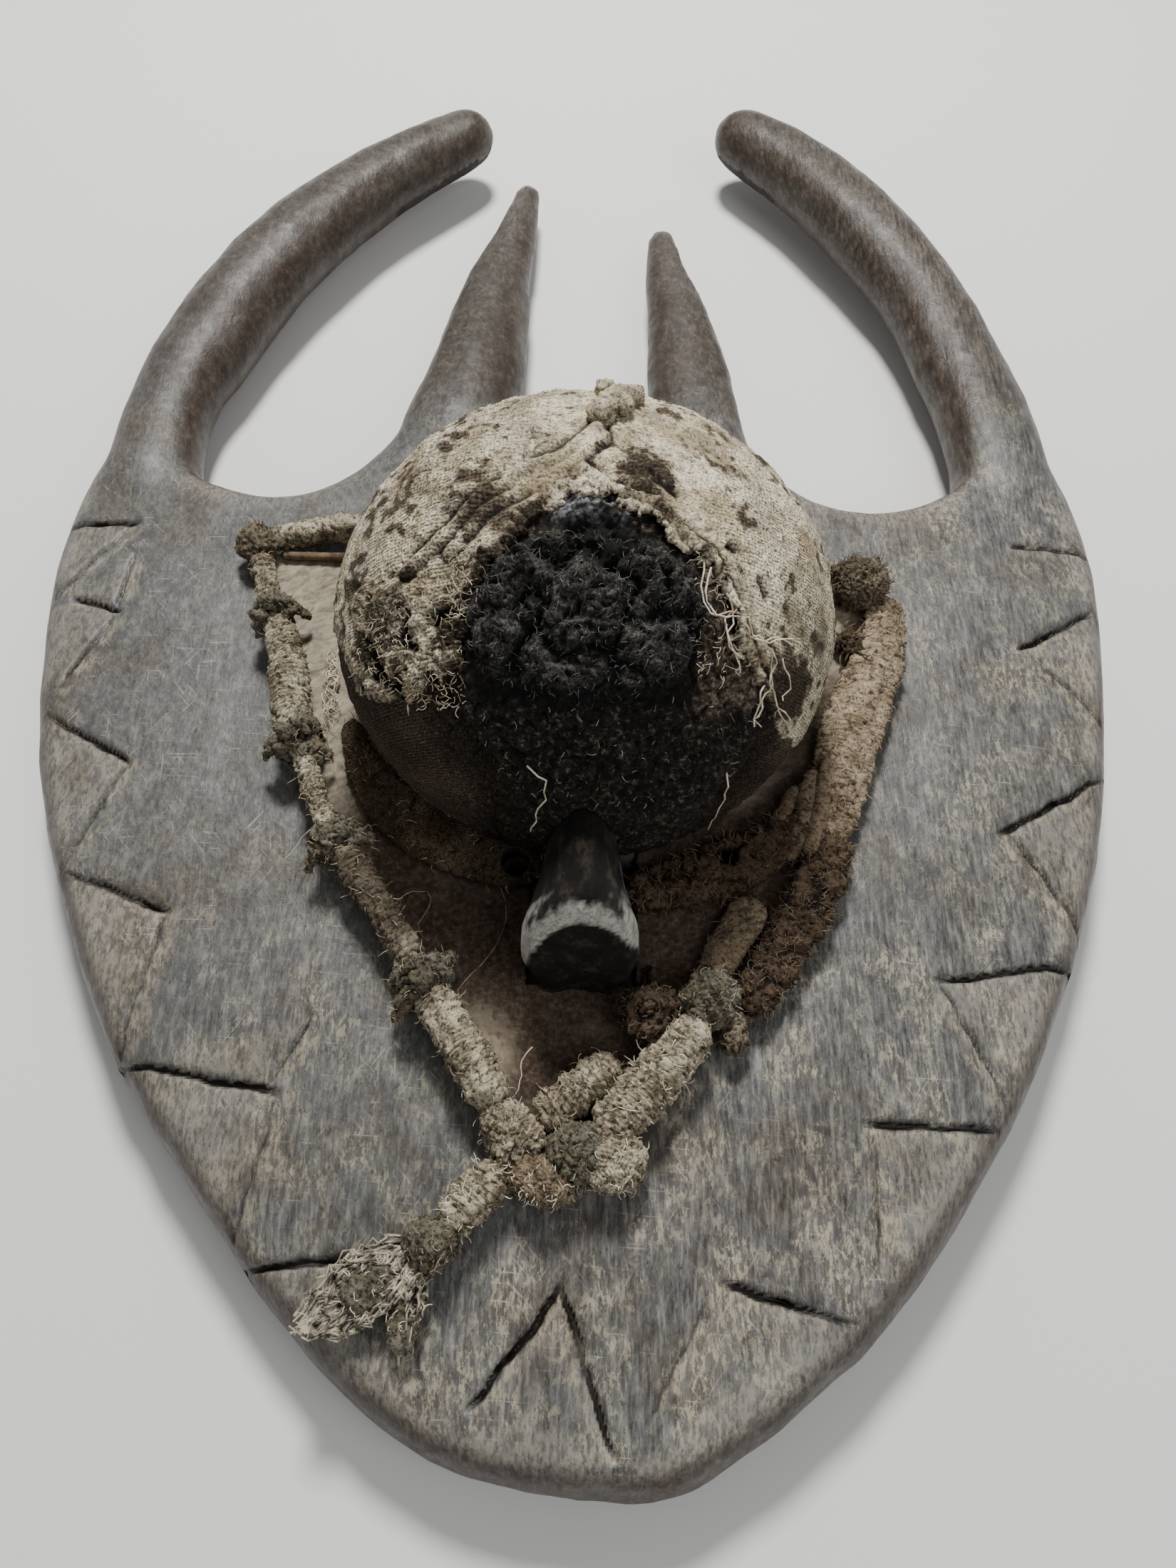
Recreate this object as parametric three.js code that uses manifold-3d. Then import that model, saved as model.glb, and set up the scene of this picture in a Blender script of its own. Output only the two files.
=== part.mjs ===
// A carved wooden face mask lying on its back, with horns and ears, dressed in cloth, hide and fibre.
// Millimetres. +Z is out of the face, +Y towards the horn tips, +X to the right as the face is looked at.
// The origin is at the bottom centre of the bounding box, so the flat back lies at z = 0.
import * as THREE from 'three';
import { mergeVertices } from 'three/addons/utils/BufferGeometryUtils.js';
import Module from 'manifold-3d';

const wasm = await Module();
wasm.setup();

// Clearance between neighbouring pieces
const GAP = 0.3;

// Face plate: its outline at the widest level, counter-clockwise from the chin
const PLATE_OUTLINE = [
  [12, -297], [36, -295.5], [84, -263], [116, -227], [145, -183], [174, -119], [190, -50],
  [198, 15], [196, 42], [191, 60], [178, 62], [163, 54], [149, 46], [132, 35], [108, 31], [86, 41], [72, 62], [52, 90],
  [20, 70], [-22, 72], [-54, 94], [-73, 72], [-87, 49], [-104, 37], [-127, 35.5], [-147, 45],
  [-160, 53], [-178, 64], [-191, 60], [-196, 42], [-198, 18], [-193, -30], [-181, -87], [-161, -136], [-132, -189],
  [-100, -227], [-64, -266], [-28, -290],
];
const PLATE_CENTRE = [0, -100];
// The face is a shallow dish turned over: its height in the middle and its fall towards the rim
const FACE_TOP = 40;
const FACE_MIDDLE_Y = -80;
const FACE_FALL = 9;
const FACE_HALF_WIDTH = 195;
const FACE_HALF_LENGTH = 215;
// Rim profile from the back up to the widest level: inset from the outline and height
const RIM_BACK = [[5, 0], [0, 12]];
// Rim profile from there to the face: inset from the outline and depth below the face
const RIM_FRONT = [[1, 11], [3.5, 5], [9, 0.8], [60, 0]];

// Horns: centreline x and y, height of the axis and radius
const LEFT_HORN = [
  [-160, 8, 15, 15], [-170, 52, 17.6, 20], [-170, 91, 19, 19], [-164, 112, 20, 20.2], [-151, 152, 22, 21.4],
  [-131, 192, 24, 20.6], [-104, 231, 24, 18.8], [-71, 264, 24, 16.6], [-49, 284, 24, 14.5],
];
const RIGHT_HORN = [
  [160, 8, 15, 15], [169, 52, 18, 20.6], [168, 84, 19, 20.5], [161, 119, 20, 19.4], [148, 166, 22, 19],
  [127, 208, 24, 20], [101, 249, 24, 19], [85, 266, 24, 17.8], [65, 286, 24, 15],
];
const HORN_FLATTEN = 0.86;

// Ears: the same four numbers, tapering to a point
const LEFT_EAR = [
  [-44, 20, 19, 24], [-50, 74, 20, 25.5], [-43, 118, 19, 21.6], [-40, 166, 17, 16.8], [-32.5, 212, 16, 10.6],
  [-28, 250, 15, 6.5],
];
const RIGHT_EAR = [
  [42, 20, 18, 22], [49, 68, 19, 22.8], [45.8, 110, 18, 19.2], [43, 146, 17, 16], [36.5, 187, 16, 10.2],
  [35.5, 217, 15, 6.5],
];
const EAR_FLATTEN = 0.72;

// Forehead dome: an ellipsoid that leans over the eyes, on a narrower neck
const DOME_CENTRE = [6, -63, 76];
const DOME_SEMI = [75.4, 73, 63];
const CLOTH_THICKNESS = 1.9;
const CLOTH_HEM_HEIGHT = 47;
const NECK_CENTRE = [6, -54];
const NECK_SEMI = [60, 52];

// Hollow behind for the wearer's face: a shallow bowl and a deeper pocket in the dome
const BOWL_CENTRE = [0, -95, 0];
const BOWL_SEMI = [74, 104, 25];
const POCKET_CENTRE = [6, -60, 52];
const POCKET_SEMI = [46, 40, 62];
const EYE_HOLES = [[-13.5, -131.5], [50, -129]];
const EYE_HOLE_RADIUS = 4.5;

// Nose: stations along it from the dome to its cut end: y, half width and top height
const NOSE_X = 7;
const NOSE_FOOT = 30;
const NOSE_STATIONS = [[-98, 9, 84], [-134, 9.5, 87], [-148, 12.5, 88], [-160, 16.5, 88]];
const NOSE_END_Y = -163.5;
const NOSE_END_LEAN = 9;
const NOSE_END_LIP = 50;
const NOSE_END_UNDERCUT = 6;
const NOSE_RIM = 3;
const NOSE_WAIST = 0.86;
const NOSE_SIDES = 16;

// Packed crust in the torn opening of the forehead cloth, seen along the slope that faces up and forward
const TEAR_OUTLINE = [
  [-1, 38], [15, 31], [26, 22], [32, 9], [37, -4], [44, -18], [42, -32], [37, -46], [33, -84],
  [-30, -84], [-32, -36], [-33, -19], [-29, -5], [-28, 10], [-22, 22], [-11, 32],
];
const TEAR_TILT = Math.PI / 4;
const CRUST_PROUD = 2.4;
const PIT = { centre: [10, -85, 138], semi: [12, 8.5, 10] };

// Chip-cut zigzag: each deep cut and each light line runs from one end to the other
const DEEP_CUTS = [
  [-191, 17, -164, 16], [-181, -20, -161, -27], [-177, -71, -143, -91], [-156, -130, -119, -145],
  [-128, -190, -78, -199], [-83, -245, -50, -242], [163, 11, 193, 10], [157, -38, 188, -18],
  [139, -112, 179, -87], [111, -162, 158, -154], [87, -204, 125, -204], [46, -246, 80, -255],
  [-19, -277, 4, -248], [4, -248, 18, -287],
];
const LIGHT_CUTS = [
  [-166, 15, -188, -19], [-163, -28, -162, 0], [-163, -29, -177, -65], [-144, -90, -158, -130],
  [-120, -144, -127, -189], [-80, -198, -71, -177], [-78, -199, -85, -238], [160, -39, 182, -66],
  [142, -111, 161, -145], [114, -164, 129, -198], [90, -207, 88, -242], [42, -250, 26, -280], [-34, -261, -31, -272],
];
const DEEP_CUT = { width: 5.5, depth: 5 };
const LIGHT_CUT = { width: 3, depth: 1.6 };

// Face hide: a panel that narrows towards the chin, as rows of y, left edge and right edge
const HIDE_ROWS = [
  [-219, -5, 9], [-175, -36, 43], [-135, -62, 72], [-100, -81, 92], [-60, -94, 106], [-30, -103, 110], [-5, -108, 104],
];
const HIDE_CELLS_ACROSS = 4;
const HIDE_THICKNESS = 1.6;

// Cloth rolls that border the face: x, y, radius
const ROLLS = {
  left_border_roll: [
    [-109, -15, 4.6], [-101, -39, 4.4], [-94, -56, 6.6], [-87, -84, 6.4], [-82, -97, 3.8], [-71, -122, 4],
    [-63, -134, 5.6], [-45, -159, 5.8], [-37, -173, 5.2], [-30, -182, 6.6], [-18, -201, 6.4],
  ],
  right_border_roll: [[19, -207, 5.2], [27, -198, 6.2], [38, -184, 5.8]],
  right_inner_roll: [[2, -202, 4], [9, -196.5, 4.6], [16, -191, 3.8]],
  right_loose_end: [[51, -180, 3.2], [51, -188, 3.8]],
  right_folded_strip: [[47, -163, 4.2], [57, -146, 4.6]],
  right_fur_mass: [[62, -170, 4.5], [71, -151, 7], [80, -133, 6.5], [87, -121, 4]],
  right_upper_roll: [[107, -37, 5], [104, -50, 8.5], [98, -67, 10.5], [92, -83, 10.5], [87, -103, 7.5]],
  top_left_roll: [[-103, -0.5, 3.8], [-90, 2, 4.4], [-72, 3, 4]],
  fur_ball_stem: [[27, -165, 1.6], [27, -169.5, 1.6]],
  tassel_segment: [[-15, -224, 4.2], [-20, -230, 5.4], [-27, -236.5, 4.4]],
  tassel_tuft: [[-41, -246, 4.4], [-48, -251.5, 8], [-56, -257.5, 8.5], [-63, -263, 5]],
  tassel_second_lobe: [[-34, -251, 3.2], [-36.5, -262, 4.4], [-36, -270, 3.2]],
};
const ROLL_SIDES = 8;
// The pieces of the border that are folded flat, and how flat
const FOLDED = { right_fur_mass: 0.7, right_upper_roll: 0.5, tassel_tuft: 0.8 };
const TIED_ROLL_REST = 9;
const REED = { from: [-104, -7.5], to: [-76, -9], radius: 1.5 };

// Ties round the left roll: share of its length, thickness and width
const TIES = [[0.13, 2.2, 6], [0.375, 2.4, 7], [0.56, 2.2, 8], [0.81, 2.4, 10]];
const TIE_SIDES = 10;
const TIE_SLACK = 0.8;

// Knots, balls and tufts: x, y and half sizes
const LUMPS = {
  left_corner_knot: [-113.5, -5, 7.2, 7, 5.5],
  left_end_knot: [-9, -211.5, 7.2, 6, 6],
  chin_knot_left: [-3, -226.5, 6.6, 6, 5.6],
  chin_knot_middle: [7, -215.5, 6.2, 6.6, 6],
  chin_knot_right: [17, -221, 5.6, 6.6, 5.8],
  right_knot: [44, -173.5, 8.6, 7.4, 7],
  fur_ball: [27, -177, 6.6, 6.4, 6.4],
  hair_ball: [99, -22, 10, 8.8, 8.6],
  dark_tuft: [92, -41, 4.4, 4, 3.6],
  tassel_knot: [-33.5, -243, 6.4, 6, 5.6],
};

// Brow bands under the dome: x, y and half width, and how flat they are
const BROW_BANDS = {
  brow_band_left: [[-67, -100, 4], [-51, -117, 6.5], [-33, -127, 7.5], [-14, -131, 7.5], [-6, -135, 4]],
  brow_band_right: [[20, -141, 4], [32, -138, 5.6], [50, -133, 5.6], [68, -121, 5], [82, -104, 4]],
};
const BROW_FLATTEN = 0.62;
const BROW_HOLES = [[-14, -134.5], [50, -132]];
const BROW_HOLE_RADIUS = 2.4;

const COLOURS = {
  wood: 0x5d5650, crust: 0x231a15, cloth: 0xa89878, hide: 0x7d6a52, roll: 0x8f8166, fur: 0x2d241d, reed: 0x6b5339,
};

// Two rings round each domed end of a bar
const DOMED_END_ANGLES = [Math.PI / 6, Math.PI / 3];

const point = (x, y, z = 0) => new THREE.Vector3(x, y, z);

/** Height of the carved face above the back. */
function faceHeight(x, y) {
  const across = (x / FACE_HALF_WIDTH) ** 2;
  const along = ((y - FACE_MIDDLE_Y) / FACE_HALF_LENGTH) ** 2;
  return FACE_TOP - FACE_FALL * (across + along);
}

/** Height of the axis of a piece of the given half thickness that rests on the face hide. */
function restHeight(x, y, halfThickness) {
  return faceHeight(x, y) + GAP + HIDE_THICKNESS + GAP + 0.3 + halfThickness;
}

/** Closed skin over rings that run counter-clockwise as seen from the last one, closed to a point at each end. */
function loft(first, rings, last) {
  const sides = rings[0].length;
  const vertices = [first, ...rings.flat(), last];
  const end = vertices.length - 1;
  const at = (ring, side) => 1 + ring * sides + (side % sides);
  const index = [];
  for (let side = 0; side < sides; side++) {
    index.push(0, at(0, side + 1), at(0, side));
    for (let ring = 0; ring + 1 < rings.length; ring++) {
      index.push(at(ring, side), at(ring, side + 1), at(ring + 1, side + 1));
      index.push(at(ring, side), at(ring + 1, side + 1), at(ring + 1, side));
    }
    index.push(end, at(rings.length - 1, side), at(rings.length - 1, side + 1));
  }
  const geometry = new THREE.BufferGeometry().setFromPoints(vertices);
  geometry.setIndex(index);
  return geometry;
}

/** Smooth line through [x, y, z, radius] stations, as its curve, radius and sideways directions by share. */
function smoothLine(stations) {
  const curve = new THREE.CatmullRomCurve3(stations.map(([x, y, z]) => point(x, y, z)), false, 'centripetal');
  const swell = new THREE.CatmullRomCurve3(stations.map(([, , , r], i) => point(i, r)), false, 'centripetal');
  const radiusAt = (share) => swell.getPoint(curve.getUtoTmapping(share)).y;
  const frameAt = (share) => {
    const centre = curve.getPointAt(share);
    const along = curve.getTangentAt(share);
    const across = point(0, 0, 1).cross(along).normalize();
    return { centre, along, across, up: along.clone().cross(across) };
  };
  return { length: curve.getLength(), radiusAt, frameAt };
}

/** Round bar along a smooth line, with domed ends, flattened towards the face. */
function bar(stations, { sides, steps, flatten = 1 }) {
  const { length, radiusAt, frameAt } = smoothLine(stations);
  const startReach = stations[0][3] / length;
  const endReach = stations.at(-1)[3] / length;
  const stops = DOMED_END_ANGLES.map((angle) => [startReach * (1 - Math.cos(angle)), Math.sin(angle)]);
  for (let i = 0; i <= steps; i++) {
    stops.push([startReach + (1 - startReach - endReach) * i / steps, 1]);
  }
  for (const angle of DOMED_END_ANGLES.toReversed()) {
    stops.push([1 - endReach * (1 - Math.cos(angle)), Math.sin(angle)]);
  }
  const rings = stops.map(([share, narrowing]) => {
    const { centre, across, up } = frameAt(share);
    const radius = radiusAt(share) * narrowing;
    return Array.from({ length: sides }, (_, side) => {
      const turn = 2 * Math.PI * side / sides;
      return centre.clone()
        .addScaledVector(across, radius * Math.cos(turn))
        .addScaledVector(up, radius * flatten * Math.sin(turn));
    });
  });
  return loft(frameAt(0).centre, rings, frameAt(1).centre);
}

/** Ellipsoid with its poles along +Z and -Z. */
function ellipsoid([x, y, z], [a, b, c], around, down) {
  return new THREE.SphereGeometry(1, around, down).rotateX(Math.PI / 2).scale(a, b, c).translate(x, y, z);
}

/** Upright elliptical plug between two heights. */
function plug([x, y], [a, b], low, high, sides) {
  return new THREE.CylinderGeometry(1, 1, high - low, sides)
    .rotateX(Math.PI / 2).scale(a, b, 1).translate(x, y, (low + high) / 2);
}

/** Upright prism over a flat outline. */
function prism(outline, low, high) {
  const shape = new THREE.Shape(outline.map(([x, y]) => new THREE.Vector2(x, y)));
  return new THREE.ExtrudeGeometry(shape, { depth: high - low, bevelEnabled: false }).translate(0, 0, low);
}

/** Solid for cutting and joining, from a closed geometry. */
function solid(geometry) {
  const bare = geometry.clone();
  bare.deleteAttribute('normal');
  bare.deleteAttribute('uv');
  const merged = mergeVertices(bare, 1e-4);
  return new wasm.Manifold(new wasm.Mesh({
    numProp: 3,
    vertProperties: new Float32Array(merged.attributes.position.array),
    triVerts: new Uint32Array(merged.index.array),
  }));
}

/** Geometry of a solid. */
function geometryOf(body) {
  const { vertProperties, triVerts } = body.getMesh();
  const geometry = new THREE.BufferGeometry();
  geometry.setAttribute('position', new THREE.BufferAttribute(new Float32Array(vertProperties), 3));
  geometry.setIndex(new THREE.BufferAttribute(new Uint32Array(triVerts), 1));
  return geometry;
}

/** Solid of the dome's ellipsoid, larger or smaller than its outer surface by the given amount. */
function dome(offset) {
  return solid(ellipsoid(DOME_CENTRE, DOME_SEMI.map((half) => half + offset), 24, 13));
}

/** Plate without horns: rings from the flat back round the rim and over the face. */
function plateGeometry() {
  const curve = new THREE.CatmullRomCurve3(PLATE_OUTLINE.map(([x, y]) => point(x, y)), true, 'centripetal');
  const outline = curve.getPoints(2 * PLATE_OUTLINE.length).slice(0, -1);
  const middle = point(...PLATE_CENTRE);
  const inward = (inset) => outline.map((p) => {
    const reach = p.distanceTo(middle);
    return middle.clone().lerp(p, 1 - inset / reach);
  });
  const rings = [];
  for (const [inset, height] of RIM_BACK) {
    rings.push(inward(inset).map(({ x, y }) => point(x, y, height)));
  }
  for (const [inset, depth] of RIM_FRONT) {
    rings.push(inward(inset).map(({ x, y }) => point(x, y, faceHeight(x, y) - depth)));
  }
  const crown = point(middle.x, middle.y, faceHeight(middle.x, middle.y));
  return loft(middle, rings, crown);
}

/** Nose: an arched ridge that flares to a cut end leaning out at the bottom, with a bevelled rim. */
function noseGeometry(grow = 0) {
  const ring = (halfWidth, top, yAt) => Array.from({ length: NOSE_SIDES }, (_, side) => {
    const turn = 2 * Math.PI * side / NOSE_SIDES;
    const square = (v) => Math.sign(v) * Math.abs(v) ** 0.75;
    const z = (NOSE_FOOT + top + grow) / 2 + (top + grow - NOSE_FOOT) / 2 * square(Math.sin(turn));
    const waist = z < NOSE_END_LIP ? NOSE_WAIST : 1;
    return point(NOSE_X + (halfWidth + grow) * waist * square(Math.cos(turn)), yAt(z), z);
  });
  const rings = NOSE_STATIONS.map(([y, halfWidth, top]) => ring(halfWidth, top, () => y));
  const [, endHalf, endTop] = NOSE_STATIONS.at(-1);
  const endY = (z) => {
    const drop = Math.min(1, (endTop - z) / (endTop - NOSE_END_LIP));
    const under = Math.max(0, (NOSE_END_LIP - z) / (NOSE_END_LIP - NOSE_FOOT));
    return NOSE_END_Y - NOSE_END_LEAN * drop + NOSE_END_UNDERCUT * under - grow;
  };
  rings.push(ring(endHalf, endTop, (z) => endY(z) + NOSE_RIM));
  rings.push(ring(endHalf - NOSE_RIM, endTop - NOSE_RIM, endY));
  const middle = (NOSE_FOOT + endTop) / 2;
  return loft(point(NOSE_X, NOSE_STATIONS[0][0], middle), rings, point(NOSE_X, endY(middle), middle));
}

/** One chip cut: a long boat-shaped notch, deepest in the middle, on the face between two points. */
function chip([x1, y1, x2, y2], { width, depth }) {
  const middle = [(x1 + x2) / 2, (y1 + y2) / 2];
  const half = Math.hypot(x2 - x1, y2 - y1) / 2;
  const rise = Math.atan2(faceHeight(x2, y2) - faceHeight(x1, y1), 2 * half);
  return new THREE.OctahedronGeometry(1)
    .scale(half, width / 2, depth)
    .rotateY(-rise)
    .rotateZ(Math.atan2(y2 - y1, x2 - x1))
    .translate(...middle, faceHeight(...middle));
}

/** Prism through the torn opening of the forehead cloth, along the slope it is seen on, shrunk by an inset. */
function tearCutter(inset) {
  const centre = new THREE.Vector2(4, -10);
  const outline = TEAR_OUTLINE.map(([u, v]) => {
    const p = new THREE.Vector2(u, v).sub(centre);
    return p.setLength(p.length() - inset).add(centre).toArray();
  });
  return solid(prism(outline, 0, 120).rotateX(TEAR_TILT).translate(...DOME_CENTRE));
}

/** The carved wooden body, one piece from chin to horn tips. */
function woodenBody() {
  const horns = [LEFT_HORN, RIGHT_HORN].map((line) => bar(line, { sides: 10, steps: 11, flatten: HORN_FLATTEN }));
  const ears = [LEFT_EAR, RIGHT_EAR].map((line) => bar(line, { sides: 8, steps: 6, flatten: EAR_FLATTEN }));
  const neck = plug(NECK_CENTRE, NECK_SEMI, 20, DOME_CENTRE[2], 24);
  let body = solid(plateGeometry());
  for (const geometry of [...horns, ...ears, neck, noseGeometry()]) {
    body = body.add(solid(geometry));
  }
  body = body.add(dome(-CLOTH_THICKNESS - GAP));
  body = body.subtract(solid(ellipsoid(BOWL_CENTRE, BOWL_SEMI, 24, 8)));
  body = body.subtract(solid(ellipsoid(POCKET_CENTRE, POCKET_SEMI, 20, 10)));
  for (const hole of EYE_HOLES) {
    body = body.subtract(solid(plug(hole, [EYE_HOLE_RADIUS, EYE_HOLE_RADIUS], 2, FACE_TOP + 4, 10)));
  }
  for (const cut of DEEP_CUTS) {
    body = body.subtract(solid(chip(cut, DEEP_CUT)));
  }
  for (const cut of LIGHT_CUTS) {
    body = body.subtract(solid(chip(cut, LIGHT_CUT)));
  }
  return body.subtract(solid(ellipsoid(PIT.centre, PIT.semi, 12, 8)));
}

/** Woven cap over the dome, with its torn opening and a hem above the face. */
function foreheadCloth(nose) {
  const shell = dome(0).subtract(dome(-CLOTH_THICKNESS));
  const below = solid(new THREE.BoxGeometry(400, 400, CLOTH_HEM_HEIGHT).translate(0, 0, CLOTH_HEM_HEIGHT / 2));
  return shell.subtract(below).subtract(tearCutter(-GAP)).subtract(nose);
}

/** Packed mass in the tear, slightly proud of the cloth, with a small pit. */
function foreheadCrust(nose) {
  const mass = dome(CRUST_PROUD).subtract(dome(-CLOTH_THICKNESS));
  const below = solid(new THREE.BoxGeometry(400, 400, CLOTH_HEM_HEIGHT).translate(0, 0, CLOTH_HEM_HEIGHT / 2));
  const pit = solid(ellipsoid(PIT.centre, PIT.semi, 12, 8));
  return mass.intersect(tearCutter(GAP)).subtract(below).subtract(nose).subtract(pit);
}

/** Flat box bent to the face, one row of cells between each two rows of the panel's edges. */
function hideGeometry() {
  const cells = HIDE_ROWS.length - 1;
  const box = new THREE.BoxGeometry(1, 1, 1, HIDE_CELLS_ACROSS, cells, 1);
  const position = box.attributes.position;
  for (let i = 0; i < position.count; i++) {
    const [y, left, right] = HIDE_ROWS[Math.round((position.getY(i) + 0.5) * cells)];
    const x = THREE.MathUtils.lerp(left, right, position.getX(i) + 0.5);
    const lift = GAP + HIDE_THICKNESS * (position.getZ(i) + 0.5);
    position.setXYZ(i, x, y, faceHeight(x, y) + lift);
  }
  return box;
}

/** Thin panel that follows the face, cut round the neck, the nose and the eye holes. */
function faceHide(nose) {
  const clear = NECK_SEMI.map((half) => half + 1);
  let panel = solid(hideGeometry()).subtract(nose);
  panel = panel.subtract(solid(plug(NECK_CENTRE, clear, 10, 70, 24))).subtract(dome(1));
  for (const hole of EYE_HOLES) {
    panel = panel.subtract(solid(plug(hole, [EYE_HOLE_RADIUS, EYE_HOLE_RADIUS], 20, 60, 10)));
  }
  return panel;
}

/** Folded band under the dome with its eye hole, kept clear of the dome and the nose. */
function browBand(line, hole, nose) {
  const stations = line.map(([x, y, half]) => [x, y, restHeight(x, y, half * BROW_FLATTEN), half]);
  const band = solid(bar(stations, { sides: 8, steps: 7, flatten: BROW_FLATTEN }));
  return band.subtract(dome(CRUST_PROUD + GAP)).subtract(nose)
    .subtract(solid(plug(hole, [BROW_HOLE_RADIUS, BROW_HOLE_RADIUS], 20, 80, 8)));
}

/** Stations of a cloth roll: its axis lies where its thickest part, or its ties, rest on the face. */
function rollStations(name) {
  const line = ROLLS[name];
  const thickest = Math.max(...line.map(([, , radius]) => radius)) * (FOLDED[name] ?? 1);
  const rest = name === 'left_border_roll' ? TIED_ROLL_REST : thickest;
  return line.map(([x, y, radius]) => [x, y, restHeight(x, y, rest), radius]);
}

/** Cloth roll that rests on the face. */
function rollGeometry(name) {
  const stations = rollStations(name);
  const steps = Math.max(2, Math.round(1.3 * (stations.length - 1)));
  return bar(stations, { sides: ROLL_SIDES, steps, flatten: FOLDED[name] ?? 1 });
}

/** Band of wound cloth round the left roll, clear of the roll's widest place under it. */
function tieGeometry([share, thickness, width]) {
  const { length, radiusAt, frameAt } = smoothLine(rollStations('left_border_roll'));
  const reach = width / 2 / length;
  const inner = GAP + TIE_SLACK + Math.max(radiusAt(share - reach), radiusAt(share), radiusAt(share + reach));
  const profile = [
    [inner, -width / 2], [inner + thickness * 0.6, -width / 2], [inner + thickness, 0],
    [inner + thickness * 0.6, width / 2], [inner, width / 2], [inner, -width / 2],
  ].map(([r, h]) => new THREE.Vector2(r, h));
  const { centre, along, across, up } = frameAt(share);
  const turn = new THREE.Matrix4().makeBasis(across, along, up.negate()).setPosition(centre);
  return new THREE.LatheGeometry(profile, TIE_SIDES).applyMatrix4(turn);
}

// The pieces are drawn round the middle of the face plate; this brings their bounding box over the origin
const CENTRING = [0, 3.6, 0];

const mask = new THREE.Group();

/** Adds one named piece. */
function addPiece(name, geometry, colour, roughness = 0.85) {
  const material = new THREE.MeshStandardMaterial({ color: colour, roughness, metalness: 0 });
  const mesh = new THREE.Mesh(geometry.translate(...CENTRING), material);
  mesh.name = name;
  mask.add(mesh);
}

const noseClearance = solid(noseGeometry(GAP));
addPiece('wooden_body', geometryOf(woodenBody()), COLOURS.wood, 0.6);
addPiece('forehead_cloth', geometryOf(foreheadCloth(noseClearance)), COLOURS.cloth);
addPiece('forehead_crust', geometryOf(foreheadCrust(noseClearance)), COLOURS.crust);
addPiece('face_hide', geometryOf(faceHide(noseClearance)), COLOURS.hide);
Object.entries(BROW_BANDS).forEach(([name, line], i) => {
  addPiece(name, geometryOf(browBand(line, BROW_HOLES[i], noseClearance)), COLOURS.roll);
});
for (const name of Object.keys(ROLLS)) {
  addPiece(name, rollGeometry(name), name.includes('fur') ? COLOURS.fur : COLOURS.roll);
}
TIES.forEach((tie, i) => addPiece(`left_tie_${i + 1}`, tieGeometry(tie), COLOURS.roll));
for (const [name, [x, y, a, b, c]] of Object.entries(LUMPS)) {
  const lump = new THREE.IcosahedronGeometry(1, 1).scale(a, b, c).translate(x, y, restHeight(x, y, c));
  addPiece(name, lump, name.includes('knot') ? COLOURS.roll : COLOURS.fur);
}
const [reedFrom, reedTo] = [REED.from, REED.to].map(([x, y]) => [x, y, restHeight(x, y, REED.radius), REED.radius]);
addPiece('top_left_reed', bar([reedFrom, reedTo], { sides: 6, steps: 2 }), COLOURS.reed);

export default mask;
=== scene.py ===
"""A carved wooden face mask with horns and ears, lying on its back, dressed in cloth, hide and fibre."""
import math
import random

import bmesh
import bpy
from mathutils import Matrix, Vector, bvhtree, kdtree, noise


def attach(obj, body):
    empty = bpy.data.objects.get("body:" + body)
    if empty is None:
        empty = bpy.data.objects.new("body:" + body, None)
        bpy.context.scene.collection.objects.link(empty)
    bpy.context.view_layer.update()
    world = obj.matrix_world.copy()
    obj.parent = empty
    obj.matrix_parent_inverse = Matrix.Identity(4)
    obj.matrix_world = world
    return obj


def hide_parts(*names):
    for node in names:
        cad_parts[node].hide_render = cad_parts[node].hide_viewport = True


# Without a seed, noise_vector starts anew in every run
noise.seed_set(1)

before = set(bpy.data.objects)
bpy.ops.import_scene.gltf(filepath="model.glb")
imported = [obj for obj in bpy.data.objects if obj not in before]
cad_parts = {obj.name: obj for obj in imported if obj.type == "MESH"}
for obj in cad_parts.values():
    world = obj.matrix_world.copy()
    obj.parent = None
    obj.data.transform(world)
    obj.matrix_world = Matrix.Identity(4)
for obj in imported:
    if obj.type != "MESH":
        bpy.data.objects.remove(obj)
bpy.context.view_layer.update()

# The pieces are drawn in millimetres round the middle of the face plate, then brought over the frame's origin
CENTRING = 3.6
TO_FRAME = Matrix.Scale(0.001, 4) @ Matrix.Translation((0, CENTRING, 0))
TO_DRAWING = TO_FRAME.inverted()


# Camera, floor and lights

CAMERA_PLACE = (0.01158, -0.28796, 0.36575)
CAMERA_LEAN = 30
CAMERA_ROLL = 1.2
CAMERA_LENS = 27
SENSOR_WIDTH = 36
LIGHT_AIM = Vector((0, 0, 0.03))
FLOOR_SIZE = 6


def camera_at_the_photograph():
    camera = bpy.data.objects.new("camera", bpy.data.cameras.new("camera"))
    bpy.context.scene.collection.objects.link(camera)
    x, y, z = CAMERA_PLACE
    camera.location = (x, y + CENTRING / 1000, z)
    camera.rotation_euler = (math.radians(CAMERA_LEAN), 0, math.radians(CAMERA_ROLL))
    camera.data.lens = CAMERA_LENS
    camera.data.sensor_width = SENSOR_WIDTH
    camera.data.clip_start = 0.01
    bpy.context.scene.camera = camera


def soft_light(name, place, size, power, colour=(1, 1, 1)):
    lamp = bpy.data.lights.new(name, "AREA")
    lamp.shape = "DISK"
    lamp.size = size
    lamp.energy = power
    lamp.color = colour
    light = bpy.data.objects.new(name, lamp)
    light.location = place
    light.rotation_euler = (LIGHT_AIM - Vector(place)).to_track_quat("-Z", "Y").to_euler()
    bpy.context.scene.collection.objects.link(light)


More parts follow.
